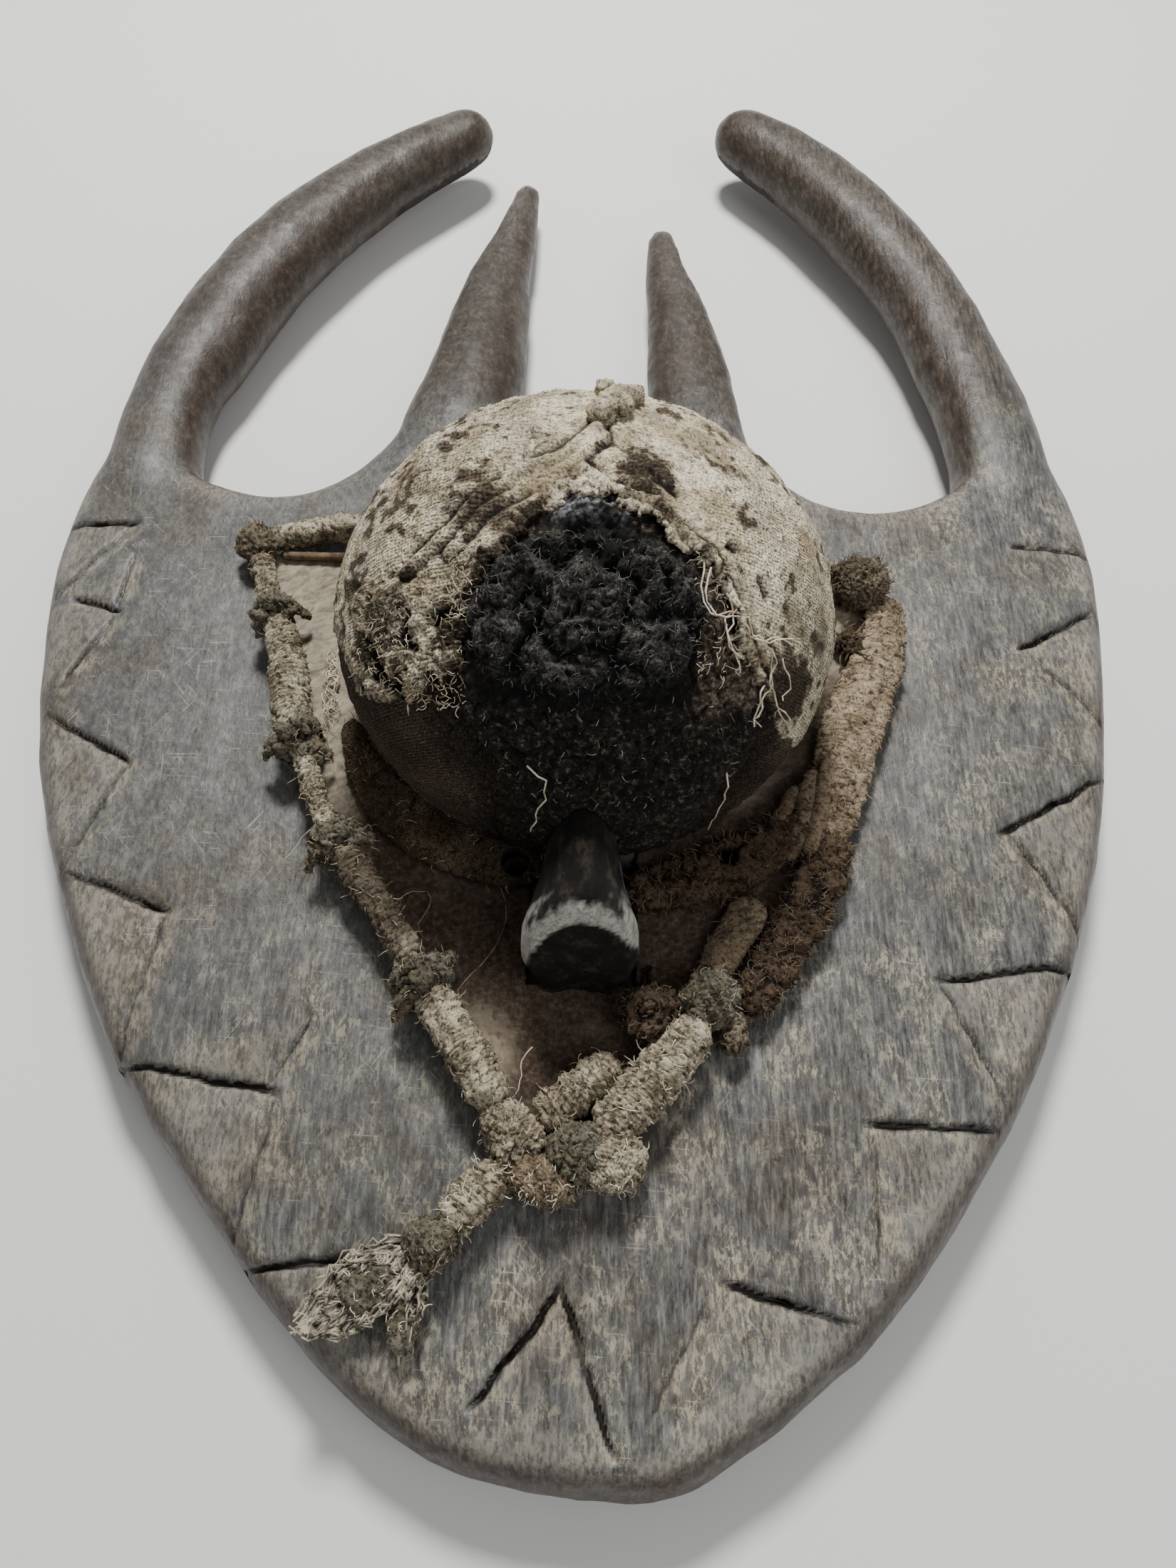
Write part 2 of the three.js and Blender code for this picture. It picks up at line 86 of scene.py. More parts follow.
def studio():
    floor = bpy.data.meshes.new("floor")
    bm = bmesh.new()
    bmesh.ops.create_grid(bm, x_segments=1, y_segments=1, size=FLOOR_SIZE)
    bm.to_mesh(floor)
    bm.free()
    ground = bpy.data.objects.new("floor", floor)
    bpy.context.scene.collection.objects.link(ground)
    paint = bpy.data.materials.new("floor_paint")
    paint.use_nodes = True
    shader = paint.node_tree.nodes["Principled BSDF"]
    shader.inputs["Base Color"].default_value = (0.72, 0.72, 0.71, 1)
    shader.inputs["Roughness"].default_value = 0.9
    floor.materials.append(paint)
    world = bpy.data.worlds.new("studio")
    world.use_nodes = True
    world.node_tree.nodes["Background"].inputs["Color"].default_value = (1, 1, 1, 1)
    world.node_tree.nodes["Background"].inputs["Strength"].default_value = 0.3
    bpy.context.scene.world = world
    soft_light("key_light", (-0.05, 0.72, 1.2), 0.3, 31, (1, 0.985, 0.96))
    soft_light("fill_light", (0.7, -0.7, 1.0), 0.9, 6)


# The shape of the face, as in the solids

GAP = 0.3
CLEARANCE = 0.3
HIDE_THICKNESS = 1.6
FACE_TOP = 40
FACE_FALL = 9
FACE_MIDDLE_Y = -80
FACE_SEMI = (195, 215)
DOME_CENTRE = Vector((6, -63, 76))
DOME_SEMI = Vector((75.4, 73, 63))
SLOPE = Vector((0, -math.sin(math.pi / 4), math.cos(math.pi / 4)))
UPHILL = Vector((0, math.cos(math.pi / 4), math.sin(math.pi / 4)))
EYE_HOLES = [(-13.5, -131.5), (50, -129)]


def face_height(x, y):
    return FACE_TOP - FACE_FALL * ((x / FACE_SEMI[0]) ** 2 + ((y - FACE_MIDDLE_Y) / FACE_SEMI[1]) ** 2)


def rest_height(x, y, half):
    """Height of the axis of a piece of that half thickness that rests on the hide."""
    return face_height(x, y) + GAP + HIDE_THICKNESS + GAP + CLEARANCE + half


def slope_spot(p):
    """Place on the dome's slope that faces up and forward: across, up it, and out of it."""
    x, y, z = p.x - DOME_CENTRE.x, p.y - DOME_CENTRE.y, p.z - DOME_CENTRE.z
    return x, (y + z) * UPHILL.y, (z - y) * SLOPE.z


def on_slope(across, up, lift=0.0):
    """Point of the dome at that place on its slope, lifted off its surface, and the direction out of it."""
    foot = Vector((across, 0, 0)) + UPHILL * up
    a = sum((SLOPE[i] / DOME_SEMI[i]) ** 2 for i in range(3))
    b = sum(2 * foot[i] * SLOPE[i] / DOME_SEMI[i] ** 2 for i in range(3))
    c = sum((foot[i] / DOME_SEMI[i]) ** 2 for i in range(3)) - 1
    spot = foot + SLOPE * ((math.sqrt(max(0.0, b * b - 4 * a * c)) - b) / (2 * a))
    out = Vector([spot[i] / DOME_SEMI[i] ** 2 for i in range(3)]).normalized()
    return DOME_CENTRE + spot + out * lift, out


# Small helpers for noise

def elsewhere(seed):
    """Shift that gives each seed its own part of the noise."""
    return Vector((seed * 3.1, seed * 7.7, seed * 1.3))


def wave(place, size, seed=0.0):
    """Smooth noise between -1 and 1 whose bumps are about size millimetres across."""
    return noise.noise(Vector(place) / size + elsewhere(seed))


def rough(place, size, seed=0.0, octaves=4):
    """Noise of several octaves, roughly between -1 and 1."""
    return noise.fractal(Vector(place) / size + elsewhere(seed), 1.0, 2.1, octaves)


def lumps_of(place, size, seed=0.0):
    """Broken lumps between sharp creases: 0 in the creases, up to 1 on the lumps."""
    place = Vector(place)
    bent = place + noise.noise_vector(place / (1.3 * size) + Vector((seed, seed, seed))) * size * 0.6
    return min(1.0, 2.6 * abs(wave(bent, size, seed)))


def flakes(place, size, seed=0.0):
    """Thin flaking layers: the height in layers, and how near the crack at the foot of a step lies, for
    painted shade there.
    """
    level = 2.6 * rough(place, size, seed, 5)
    layer = math.floor(level)
    share = level - layer
    return layer + min(1, share / 0.2) - 1, max(0.0, 1 - (1 - share) / 0.24)


def between_lumps(level, big, small):
    """How deep in the creases between big and small lumps a place lies."""
    return ramp(level - big * 0.6 - small * 0.5, 0, 0.3)


def ramp(value, low, high):
    """0 below low, 1 above high, and a smooth step between."""
    share = min(1, max(0, (value - low) / (high - low)))
    return share * share * (3 - 2 * share)


def along_table(table, value):
    """Straight-line reading of a table of (value, result) pairs."""
    for (v1, r1), (v2, r2) in zip(table, table[1:]):
        if value <= v2:
            return r1 + (r2 - r1) * max(0, value - v1) / (v2 - v1)
    return table[-1][1]


def near_line(x, y, line):
    """Distance from a point to a line through points of the same plane."""
    nearest = 1e9
    for (x1, y1), (x2, y2) in zip(line, line[1:]):
        dx, dy = x2 - x1, y2 - y1
        share = min(1, max(0, ((x - x1) * dx + (y - y1) * dy) / (dx * dx + dy * dy)))
        nearest = min(nearest, math.hypot(x - x1 - dx * share, y - y1 - dy * share))
    return nearest


def inside(x, y, outline):
    """Distance to a closed outline, negative outside it."""
    within = False
    for (x1, y1), (x2, y2) in zip(outline, outline[1:] + outline[:1]):
        if (y1 > y) != (y2 > y) and x < (x2 - x1) * (y - y1) / (y2 - y1) + x1:
            within = not within
    gap = near_line(x, y, outline + outline[:1])
    return gap if within else -gap


def box_round(points, margin):
    """Low and high x, then low and high y, of points with a margin round them."""
    xs, ys = [x for x, y in points], [y for x, y in points]
    return min(xs) - margin, max(xs) + margin, min(ys) - margin, max(ys) + margin


def in_box(x, y, box):
    return box[0] < x < box[1] and box[2] < y < box[3]


class Chart:
    """A function of x and y worked out once on a grid, then read off between its points."""

    def __init__(self, value_at, low, high, step):
        self.low, self.step = low, step
        self.columns = round((high[0] - low[0]) / step) + 1
        lines = round((high[1] - low[1]) / step) + 1
        self.lines = [[value_at(low[0] + i * step, low[1] + j * step) for i in range(self.columns)]
                      for j in range(lines)]

    def at(self, x, y):
        i = min(self.columns - 1.001, max(0.0, (x - self.low[0]) / self.step))
        j = min(len(self.lines) - 1.001, max(0.0, (y - self.low[1]) / self.step))
        column, line = int(i), int(j)
        i, j = i - column, j - line
        near, far = [row[column] * (1 - i) + row[column + 1] * i for row in self.lines[line:line + 2]]
        return near * (1 - j) + far * j


# Small helpers for meshes

def placed(name, mesh, material, nodes=()):
    """Makes a piece of a mesh that lies in the frame, and hides the parts of the model that it stands for."""
    for polygon in mesh.polygons:
        polygon.use_smooth = True
    mesh.materials.clear()
    mesh.materials.append(material)
    piece = bpy.data.objects.new(name, mesh)
    bpy.context.scene.collection.objects.link(piece)
    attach(piece, "root")
    if nodes:
        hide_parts(*nodes)
    return piece


def finish_piece(name, bm, material, nodes=()):
    """Brings a drawn mesh to the frame and makes its piece."""
    bmesh.ops.transform(bm, matrix=TO_FRAME, verts=bm.verts)
    mesh = bpy.data.meshes.new(name)
    bm.to_mesh(mesh)
    bm.free()
    return placed(name, mesh, material, nodes)


def marks_on(bm, *names):
    """Number layers of the mesh's points, which its material reads by name."""
    return [bm.verts.layers.float.new(name) for name in names]


def smooth_line(stations, steps):
    """Stations of x, y, z and radius, even along the smooth line through the given ones, and its length."""
    count = len(stations)

    def at(i):
        return Vector(stations[min(count - 1, max(0, i))])

    dense = []
    per_span = max(4, 3 * steps // (count - 1))
    for i in range(count - 1):
        a, b, c, d = at(i - 1), at(i), at(i + 1), at(i + 2)
        for k in range(per_span):
            t = k / per_span
            dense.append(0.5 * (2 * b + (c - a) * t + (2 * a - 5 * b + 4 * c - d) * t ** 2
                                + (3 * b - a - 3 * c + d) * t ** 3))
    dense.append(at(count - 1))
    lengths = [0.0]
    for p, q in zip(dense, dense[1:]):
        lengths.append(lengths[-1] + (Vector(q[:3]) - Vector(p[:3])).length)
    line, j = [], 0
    for k in range(steps + 1):
        target = lengths[-1] * k / steps
        while j < len(dense) - 2 and lengths[j + 1] < target:
            j += 1
        share = (target - lengths[j]) / max(1e-9, lengths[j + 1] - lengths[j])
        line.append(dense[j].lerp(dense[j + 1], share))
    return line, lengths[-1]


def sweep(stations, around, along, section, up=Vector((0, 0, 1))):
    """Closed tube along a smooth line, with a map of millimetres along it and round it.

    section(share, angle, radius, mm along) gives the across and upward offsets. The grid's rows run along
    the line and its columns round it; its long edges are joined and its ends closed. Its points keep their
    share of the way along.
    """
    line, length = smooth_line(stations, along)
    bm = bmesh.new()
    bmesh.ops.create_grid(bm, x_segments=along, y_segments=around, size=1)
    flat = bm.loops.layers.uv.new("weave")
    for face in bm.faces:
        for loop in face.loops:
            share = (loop.vert.co.x + 1) / 2
            radius = line[round(share * along)][3]
            loop[flat].uv = (share * length, (loop.vert.co.y + 1) / 2 * 2 * math.pi * radius)
    share_along = bm.verts.layers.float.new("along")
    for vert in bm.verts:
        row = round((vert.co.x + 1) / 2 * along)
        turn = (vert.co.y + 1) / 2 * 2 * math.pi
        here = line[row]
        ahead = Vector(line[min(along, row + 1)][:3]) - Vector(line[max(0, row - 1)][:3])
        forward = ahead.normalized()
        across = up.cross(forward).normalized()
        rise = forward.cross(across)
        reach_a, reach_u = section(row / along, turn, here[3], row / along * length)
        vert.co = Vector(here[:3]) + across * reach_a + rise * reach_u
        vert[share_along] = row / along
    bmesh.ops.remove_doubles(bm, verts=bm.verts, dist=1e-3)
    bmesh.ops.holes_fill(bm, edges=[e for e in bm.edges if e.is_boundary], sides=0)
    bmesh.ops.recalc_face_normals(bm, faces=bm.faces)
    return bm


def domed(share, length, radius):
    """Narrowing of a bar towards its two rounded ends."""
    near = min(share, 1 - share) * length
    return math.sqrt(max(0.0, 1 - (1 - min(1, near / max(0.1, radius))) ** 2))


def rounded(length, end=None, flatten=1.0):
    """Section of a plain bar of that length, domed at its ends over the given stretch, or over its radius."""
    def section(share, turn, radius, run):
        narrowing = domed(share, length, end or radius)
        return radius * narrowing * math.cos(turn), flatten * radius * narrowing * math.sin(turn)

    return section


def push(bm, relief, *names):
    """Moves each point along its normal and marks it.

    relief(place) gives the height in millimetres, the painted shade of the place, and a mark for each name.
    """
    bm.normal_update()
    layers = marks_on(bm, "pit", *names)
    moves = []
    for vert in bm.verts:
        height, *marks = relief(vert.co)
        for layer, mark in zip(layers, marks):
            vert[layer] = mark
        moves.append(vert.normal * height)
    for vert, move in zip(bm.verts, moves):
        vert.co += move


def turned_edge(bm, depth):
    """Turns the open edges of a skin inwards, so that it shows its thickness."""
    bm.normal_update()
    rim = {v: v.normal.copy() for e in bm.edges if e.is_boundary for v in e.verts}
    made = bmesh.ops.extrude_edge_only(bm, edges=[e for e in bm.edges if e.is_boundary])["geom"]
    outer = kdtree.KDTree(len(rim))
    normals = list(rim.values())
    for i, vert in enumerate(rim):
        outer.insert(vert.co, i)
    outer.balance()
    for vert in [g for g in made if isinstance(g, bmesh.types.BMVert)]:
        vert.co -= normals[outer.find(vert.co)[1]] * depth


def pierced(bm, x, y, radius):
    """Cuts an upright round hole through a piece and lines it."""
    def reach(place):
        return math.hypot(place.x - x, place.y - y)

    gone = [f for f in bm.faces if reach(f.calc_center_median()) < radius]
    bmesh.ops.delete(bm, geom=gone, context="FACES")
    rim = [e for e in bm.edges if e.is_boundary]
    for vert in {v for e in rim for v in e.verts}:
        growth = radius * (1 + 0.06 * wave(vert.co, 2.5, 3)) / reach(vert.co)
        vert.co.x, vert.co.y = x + (vert.co.x - x) * growth, y + (vert.co.y - y) * growth
    bmesh.ops.bridge_loops(bm, edges=rim)
    bmesh.ops.recalc_face_normals(bm, faces=bm.faces)


def fibre(root, out, length, curl, seed, points=5, fall=0.0):
    """Path of one curly fibre that leaves its root in the direction out."""
    path = [Vector(root)]
    heading = Vector(out).normalized()
    for _ in range(points - 1):
        here = path[-1]
        sway = Vector((wave(here, 2.6, seed), wave(here, 2.6, seed + 7.3), wave(here, 2.6, seed + 13.1)))
        heading = (heading + sway * curl * 2 - Vector((0, 0, fall))).normalized()
        path.append(here + heading * length / (points - 1))
    return path


def frays_from(bm, count, length, seed, keep=None, curl=0.8, lean=0.8):
    """Fibres that stand off a mesh at random places of it."""
    chance = random.Random(seed)
    bm.normal_update()
    roots = [v for v in bm.verts if v.normal.z > -0.5 and (keep is None or keep(v.co))]
    paths = []
    for _ in range(count if roots else 0):
        vert = chance.choice(roots)
        side = Vector((chance.uniform(-1, 1), chance.uniform(-1, 1), chance.uniform(-0.6, 0.6)))
        reach = length * chance.uniform(0.5, 1.3)
        root = vert.co - vert.normal * 0.4
        paths.append(fibre(root, vert.normal + side * lean, reach, curl, chance.random() * 50))
    return paths


def strands(name, paths, thickness, material, taper=0.6):
    """Many fine fibres as one piece: each path is a few points from root to tip, in drawing millimetres."""
    curve = bpy.data.curves.new(name, "CURVE")
    curve.dimensions = "3D"
    curve.bevel_depth = thickness / 2000
    curve.bevel_resolution = 0
    curve.use_fill_caps = True
    for path in paths:
        spline = curve.splines.new("POLY")
        spline.points.add(len(path) - 1)
        for i, (point, place) in enumerate(zip(spline.points, path)):
            point.co = (*(TO_FRAME @ Vector(place)), 1)
            point.radius = 1 - taper * i / (len(path) - 1)
    shape = bpy.data.objects.new(name + "_line", curve)
    bpy.context.scene.collection.objects.link(shape)
    mesh = bpy.data.meshes.new_from_object(shape.evaluated_get(bpy.context.evaluated_depsgraph_get()))
    mesh.name = name
    bpy.data.objects.remove(shape)
    bpy.data.curves.remove(curve)
    placed(name, mesh, material)


# Shader helpers

class Finish:
    """One material: its node tree, with short calls for the nodes it is made of."""

    def __init__(self, name):
        self.material = bpy.data.materials.new(name)
        self.material.use_nodes = True
        self.tree = self.material.node_tree
        self.shader = self.tree.nodes["Principled BSDF"]
        self.place = self.node("ShaderNodeTexCoord").outputs["Object"]

    def node(self, kind, sockets=None, **settings):
        made = self.tree.nodes.new(kind)
        for key, value in settings.items():
            setattr(made, key, value)
        for key, value in (sockets or {}).items():
            self.join(made.inputs[key], value)
        return made

    def join(self, socket, value):
        if isinstance(value, bpy.types.NodeSocket):
            self.tree.links.new(value, socket)
        elif isinstance(value, tuple) and len(value) == 3 and socket.type == "RGBA":
            socket.default_value = (*value, 1)
        else:
            socket.default_value = value

    def stretched(self, scale, turn=(0, 0, 0), of=None):
        """Place turned, then scaled, so that small scales draw a texture out along the turned axes."""
        sockets = {"Vector": of or self.place, "Scale": tuple(1 / s for s in scale), "Rotation": turn}
        return self.node("ShaderNodeMapping", sockets, vector_type="TEXTURE").outputs[0]

    def noise(self, size, detail=4.0, roughness=0.55, of=None, distortion=0.0):
        """Noise with bumps of about size millimetres."""
        return self.node("ShaderNodeTexNoise", {
            "Vector": of or self.place, "Scale": 1000 / size, "Detail": detail, "Roughness": roughness,
            "Distortion": distortion}).outputs["Fac"]

    def creases(self, size, detail, roughness, distortion):
        """Nothing along winding lines, and more the further from them."""
        noise = self.noise(size, detail, roughness, distortion=distortion)
        return self.maths("ABSOLUTE", self.maths("SUBTRACT", noise, 0.5))

    def threads(self, pitch, wobble=0.0):
        """Waves along and across the piece's own map, one for each set of threads."""
        uv = self.node("ShaderNodeUVMap", uv_map="weave").outputs[0]
        split = self.node("ShaderNodeSeparateXYZ", {"Vector": uv})
        sway = self.maths("MULTIPLY", self.noise(5, 3, 0.6), wobble)
        waves = []
        for axis in "XY":
            turns = self.maths("MULTIPLY", split.outputs[axis], 2 * math.pi / pitch)
            waves.append(self.maths("SINE", self.maths("ADD", turns, sway)))
        return waves

    def mark(self, name):
        return self.node("ShaderNodeAttribute", attribute_name=name).outputs["Fac"]

    def steps(self, value, stops):
        """Colour ramp over stops of (position, colour or grey)."""
        made = self.node("ShaderNodeValToRGB", {"Fac": value})
        elements = made.color_ramp.elements
        while len(elements) < len(stops):
            elements.new(0.5)
        for element, (position, colour) in zip(elements, stops):
            element.position = position
            element.color = (*colour, 1) if isinstance(colour, tuple) else (colour, colour, colour, 1)
        return made.outputs["Color"]

    def fade(self, value, low, high, at_low=0.0, at_high=1.0):
        """One grey up to low, another from high on, and a straight run between."""
        return self.steps(value, [(low, at_low), (high, at_high)])

    def mix(self, share, a, b):
        made = self.node("ShaderNodeMix", data_type="RGBA")
        self.join(made.inputs[0], share)
        self.join(made.inputs[6], a)
        self.join(made.inputs[7], b)
        return made.outputs[2]

    def maths(self, operation, a, b=0.0, c=0.0, clamp=False):
        made = self.node("ShaderNodeMath", operation=operation, use_clamp=clamp)
        for socket, value in zip(made.inputs, (a, b, c)):
            self.join(socket, value)
        return made.outputs[0]

    def times(self, a, b):
        return self.maths("MULTIPLY", a, b)

    def swing(self, value, reach):
        """A value about one half made one about nothing, times reach."""
        return self.times(self.maths("SUBTRACT", value, 0.5), reach)

    def bumps(self, *layers):
        """Relief of layers of (height, distance in millimetres, strength), each over the one before."""
        normal = None
        for height, distance, strength in layers:
            sockets = {"Height": height, "Distance": distance / 1000, "Strength": strength}
            if normal is not None:
                sockets["Normal"] = normal
            normal = self.node("ShaderNodeBump", sockets).outputs[0]
        return normal

    def done(self, colour, roughness, normal=None, specular=0.5):
        self.join(self.shader.inputs["Base Color"], colour)
        self.join(self.shader.inputs["Roughness"], roughness)
        self.shader.inputs["Specular IOR Level"].default_value = specular
        if normal is not None:
            self.join(self.shader.inputs["Normal"], normal)
        return self.material


# Materials

def scaled(colour, *shares):
    """A colour made darker or lighter by one share, or by one for each of its channels."""
    return tuple(c * k for c, k in zip(colour, shares * (3 // len(shares))))


def wood_finish():
    """Old handled wood: grey and mottled, dusty along the grain, red-brown at the rim, with painted shade on
    sideways faces and in the cuts.
    """
    f = Finish("patinated_wood")
    grain = f.noise(1.3, 5, 0.72, f.stretched((1, 0.13, 0.6)))
    mottle = f.noise(4.5, 7, 0.72, f.stretched((1, 0.5, 0.8)))
    fleck = f.noise(1.3, 6, 0.75, f.stretched((1, 0.36, 0.8)))
    smooth = f.noise(2.4, 6, 0.75, f.stretched((1, 0.6, 0.8), (0, 0, 0.5)))
    pocked = f.noise(1.0, 5, 0.7, f.stretched((1, 0.4, 1)))
    blotch = f.noise(13, 6, 0.70, f.stretched((1, 0.7, 1)))
    cloud = f.noise(38, 4, 0.6)
    speckled = f.mark("flecked")
    streaks = f.mix(f.fade(speckled, 0.2, 0.75, 0.15, 1.0), smooth, grain)
    spread = f.maths("MULTIPLY_ADD", speckled, 0.35, 0.52)
    blend = f.maths("MULTIPLY_ADD", streaks, 0.66, f.times(mottle, 0.34))
    tone = f.maths("MULTIPLY_ADD", f.maths("SUBTRACT", blend, 0.5), spread, 0.5)

    def by_tone(dark, middle, light):
        return f.steps(tone, [(0.40, dark), (0.5, middle), (0.60, light)])

    # Grey wood, brown in clouds
    colour = by_tone((0.028, 0.028, 0.028), (0.082, 0.083, 0.081), (0.190, 0.188, 0.176))
    brown = by_tone((0.022, 0.018, 0.014), (0.068, 0.058, 0.047), (0.150, 0.134, 0.108))
    colour = f.mix(f.fade(cloud, 0.48, 0.64, 0.0, 0.8), colour, brown)
    # Dust in patches and flecks, and dark pores
    patches = f.times(f.fade(blotch, 0.46, 0.60), speckled)
    colour = f.mix(f.times(patches, 0.25), colour, (0.20, 0.184, 0.146))
    dusty = f.times(f.fade(fleck, 0.505, 0.55, 0.0, 0.85), f.maths("MULTIPLY_ADD", patches, 0.92, 0.08))
    colour = f.mix(dusty, colour, f.mix(mottle, (0.26, 0.228, 0.158), (0.47, 0.42, 0.315)))
    colour = f.mix(f.fade(pocked, 0.34, 0.41, 0.7, 0.0), colour, (0.022, 0.019, 0.016))
    # Fine scratches, four ways
    for turn in (0.12, 0.75, -0.6, 1.5):
        lines = f.noise(0.7, 2, 0.5, f.stretched((1, 0.045, 0.4), (0, 0, turn)))
        strength = f.times(f.fade(lines, 0.675, 0.70, 0.0, 0.42), f.fade(blotch, 0.45, 0.6, 0.2, 1.0))
        colour = f.mix(strength, colour, (0.42, 0.405, 0.36))
    # Worn crests, dust beside the cuts, the handled rim and its painted shade, dirt in hollows and painted
    # shade in the cuts
    wear_and_shade = f.mark("wear_and_shade")
    worn = f.times(f.fade(wear_and_shade, 0.66, 0.95, 0.0, 0.5), f.fade(fleck, 0.42, 0.54, 0.2, 1.0))
    colour = f.mix(worn, colour, (0.31, 0.285, 0.24))
    settled = f.times(f.mark("dust"), f.fade(fleck, 0.46, 0.54, 0.15, 1.0))
    colour = f.mix(settled, colour, f.mix(mottle, (0.20, 0.170, 0.120), (0.44, 0.385, 0.285)))
    # Red-brown handled rim and horns, with painted shade on faces turned sideways and on the horns' inner
    # sides
    rim = f.times(f.mark("rim"), f.fade(blotch, 0.38, 0.60, 0.75, 1.0))
    colour = f.mix(rim, colour, by_tone((0.010, 0.007, 0.005), (0.036, 0.025, 0.018), (0.098, 0.073, 0.056)))
    # Dirt in hollows, and painted shade in the cuts' slits
    colour = f.mix(f.fade(wear_and_shade, 0.06, 0.36, 1.0, 0.0), colour, (0.011, 0.008, 0.006))
    # Soot on the nose, painted shade on the wood under the cloth and on faces turned downward, and the pale
    # end of the nose, rubbed and with a painted highlight
    sooty = f.steps(mottle, [(0.40, (0.0015, 0.0012, 0.001)), (0.54, (0.007, 0.0055, 0.004)),
                             (0.66, (0.032, 0.025, 0.019))])
    colour = f.mix(f.mark("soot_and_shade"), colour, sooty)
    colour = f.mix(f.times(f.mark("pale"), f.fade(pocked, 0.40, 0.54, 0.5, 1.0)), colour, (0.40, 0.39, 0.35))
    polish = f.fade(f.noise(7, 5, 0.65), 0.3, 0.7, 0.28, 0.50)
    dullness = f.maths("MAXIMUM", polish, f.times(f.mark("soot_and_shade"), 0.95))
    dents = f.noise(9, 4, 0.55)
    relief = f.bumps((mottle, 0.45, 0.5), (dents, 0.9, 0.5), (grain, 0.20, 0.6), (fleck, 0.16, 0.6))
    return f.done(colour, dullness, relief, 0.27)


def cloth_finish(name, light, dark, pitch=1.4):
    """Coarse plain weave: pale and crusted, or soiled where the soil mark says, with painted shade in its
    creases and gaps.
    """
    f = Finish(name)
    warp, weft = f.threads(pitch, 1.6)
    woven = f.mark("woven")
    stitch = f.noise(820, 3, 0.68, f.node("ShaderNodeUVMap", uv_map="weave").outputs[0])
    patch = f.noise(2.8, 7, 0.78)
    fleck = f.noise(0.9, 4, 0.7)
    cloud = f.noise(16, 5, 0.65)
    shade = f.noise(24, 5, 0.7)
    tone = f.mix(f.fade(cloud, 0.45, 0.62), light, scaled(light, 0.56, 0.50, 0.42))
    tone = f.mix(f.fade(shade, 0.46, 0.64, 0.0, 0.7), tone, scaled(light, 0.26, 0.25, 0.23))
    # Painted shade in the gaps between the threads, in holes of the crust and in cracks
    rib = f.maths("MULTIPLY_ADD", weft, 0.065, f.times(warp, 0.035))
    stitched = f.maths("ADD", stitch, f.times(rib, woven))
    gaps = f.times(f.fade(stitched, 0.42, 0.50, 1.0, 0.0), f.maths("MULTIPLY_ADD", woven, 0.6, 0.4))
    colour = f.mix(gaps, tone, scaled(light, 0.12))
    colour = f.mix(f.fade(patch, 0.385, 0.45, 0.95, 0.0), colour, scaled(light, 0.10))
    cracked = f.fade(f.creases(7, 5, 0.68, 0.5), 0.0, 0.012, 0.9, 0.0)
    colour = f.mix(f.times(cracked, f.fade(cloud, 0.42, 0.55, 0.2, 1.0)), colour, scaled(light, 0.06))
    # Soil, broken up along the threads, with specks
    uneven = f.maths("MULTIPLY_ADD", f.maths("SUBTRACT", patch, 0.5), 0.7, f.swing(stitched, 1.5))
    soil = f.maths("ADD", f.mark("soil"), uneven, clamp=True)
    soiled = f.steps(soil, [(0.4, scaled(dark, 1.5)), (0.66, scaled(dark, 0.5)), (0.95, scaled(dark, 0.10))])
    specks = f.times(f.fade(fleck, 0.52, 0.62, 0.0, 0.6), f.fade(cloud, 0.40, 0.60, 0.3, 1.0))
    soiled = f.mix(specks, soiled, scaled(dark, 0.9))
    colour = f.mix(f.fade(soil, 0.26, 0.52), colour, soiled)
    colour = f.mix(f.fade(fleck, 0.36, 0.44, 0.7, 0.0), colour, (0.018, 0.014, 0.010))
    # Painted shade in the creases, cracks and holes of the relief
    colour = f.mix(f.mark("pit"), colour, (0.007, 0.005, 0.004))
    ribs = f.times(rib, woven)
    relief = f.bumps((ribs, 3.0, 0.8), (stitch, 0.6, 0.8), (patch, 0.9, 0.7), (fleck, 0.4, 0.5))
    return f.done(colour, 0.94, relief, 0.15)


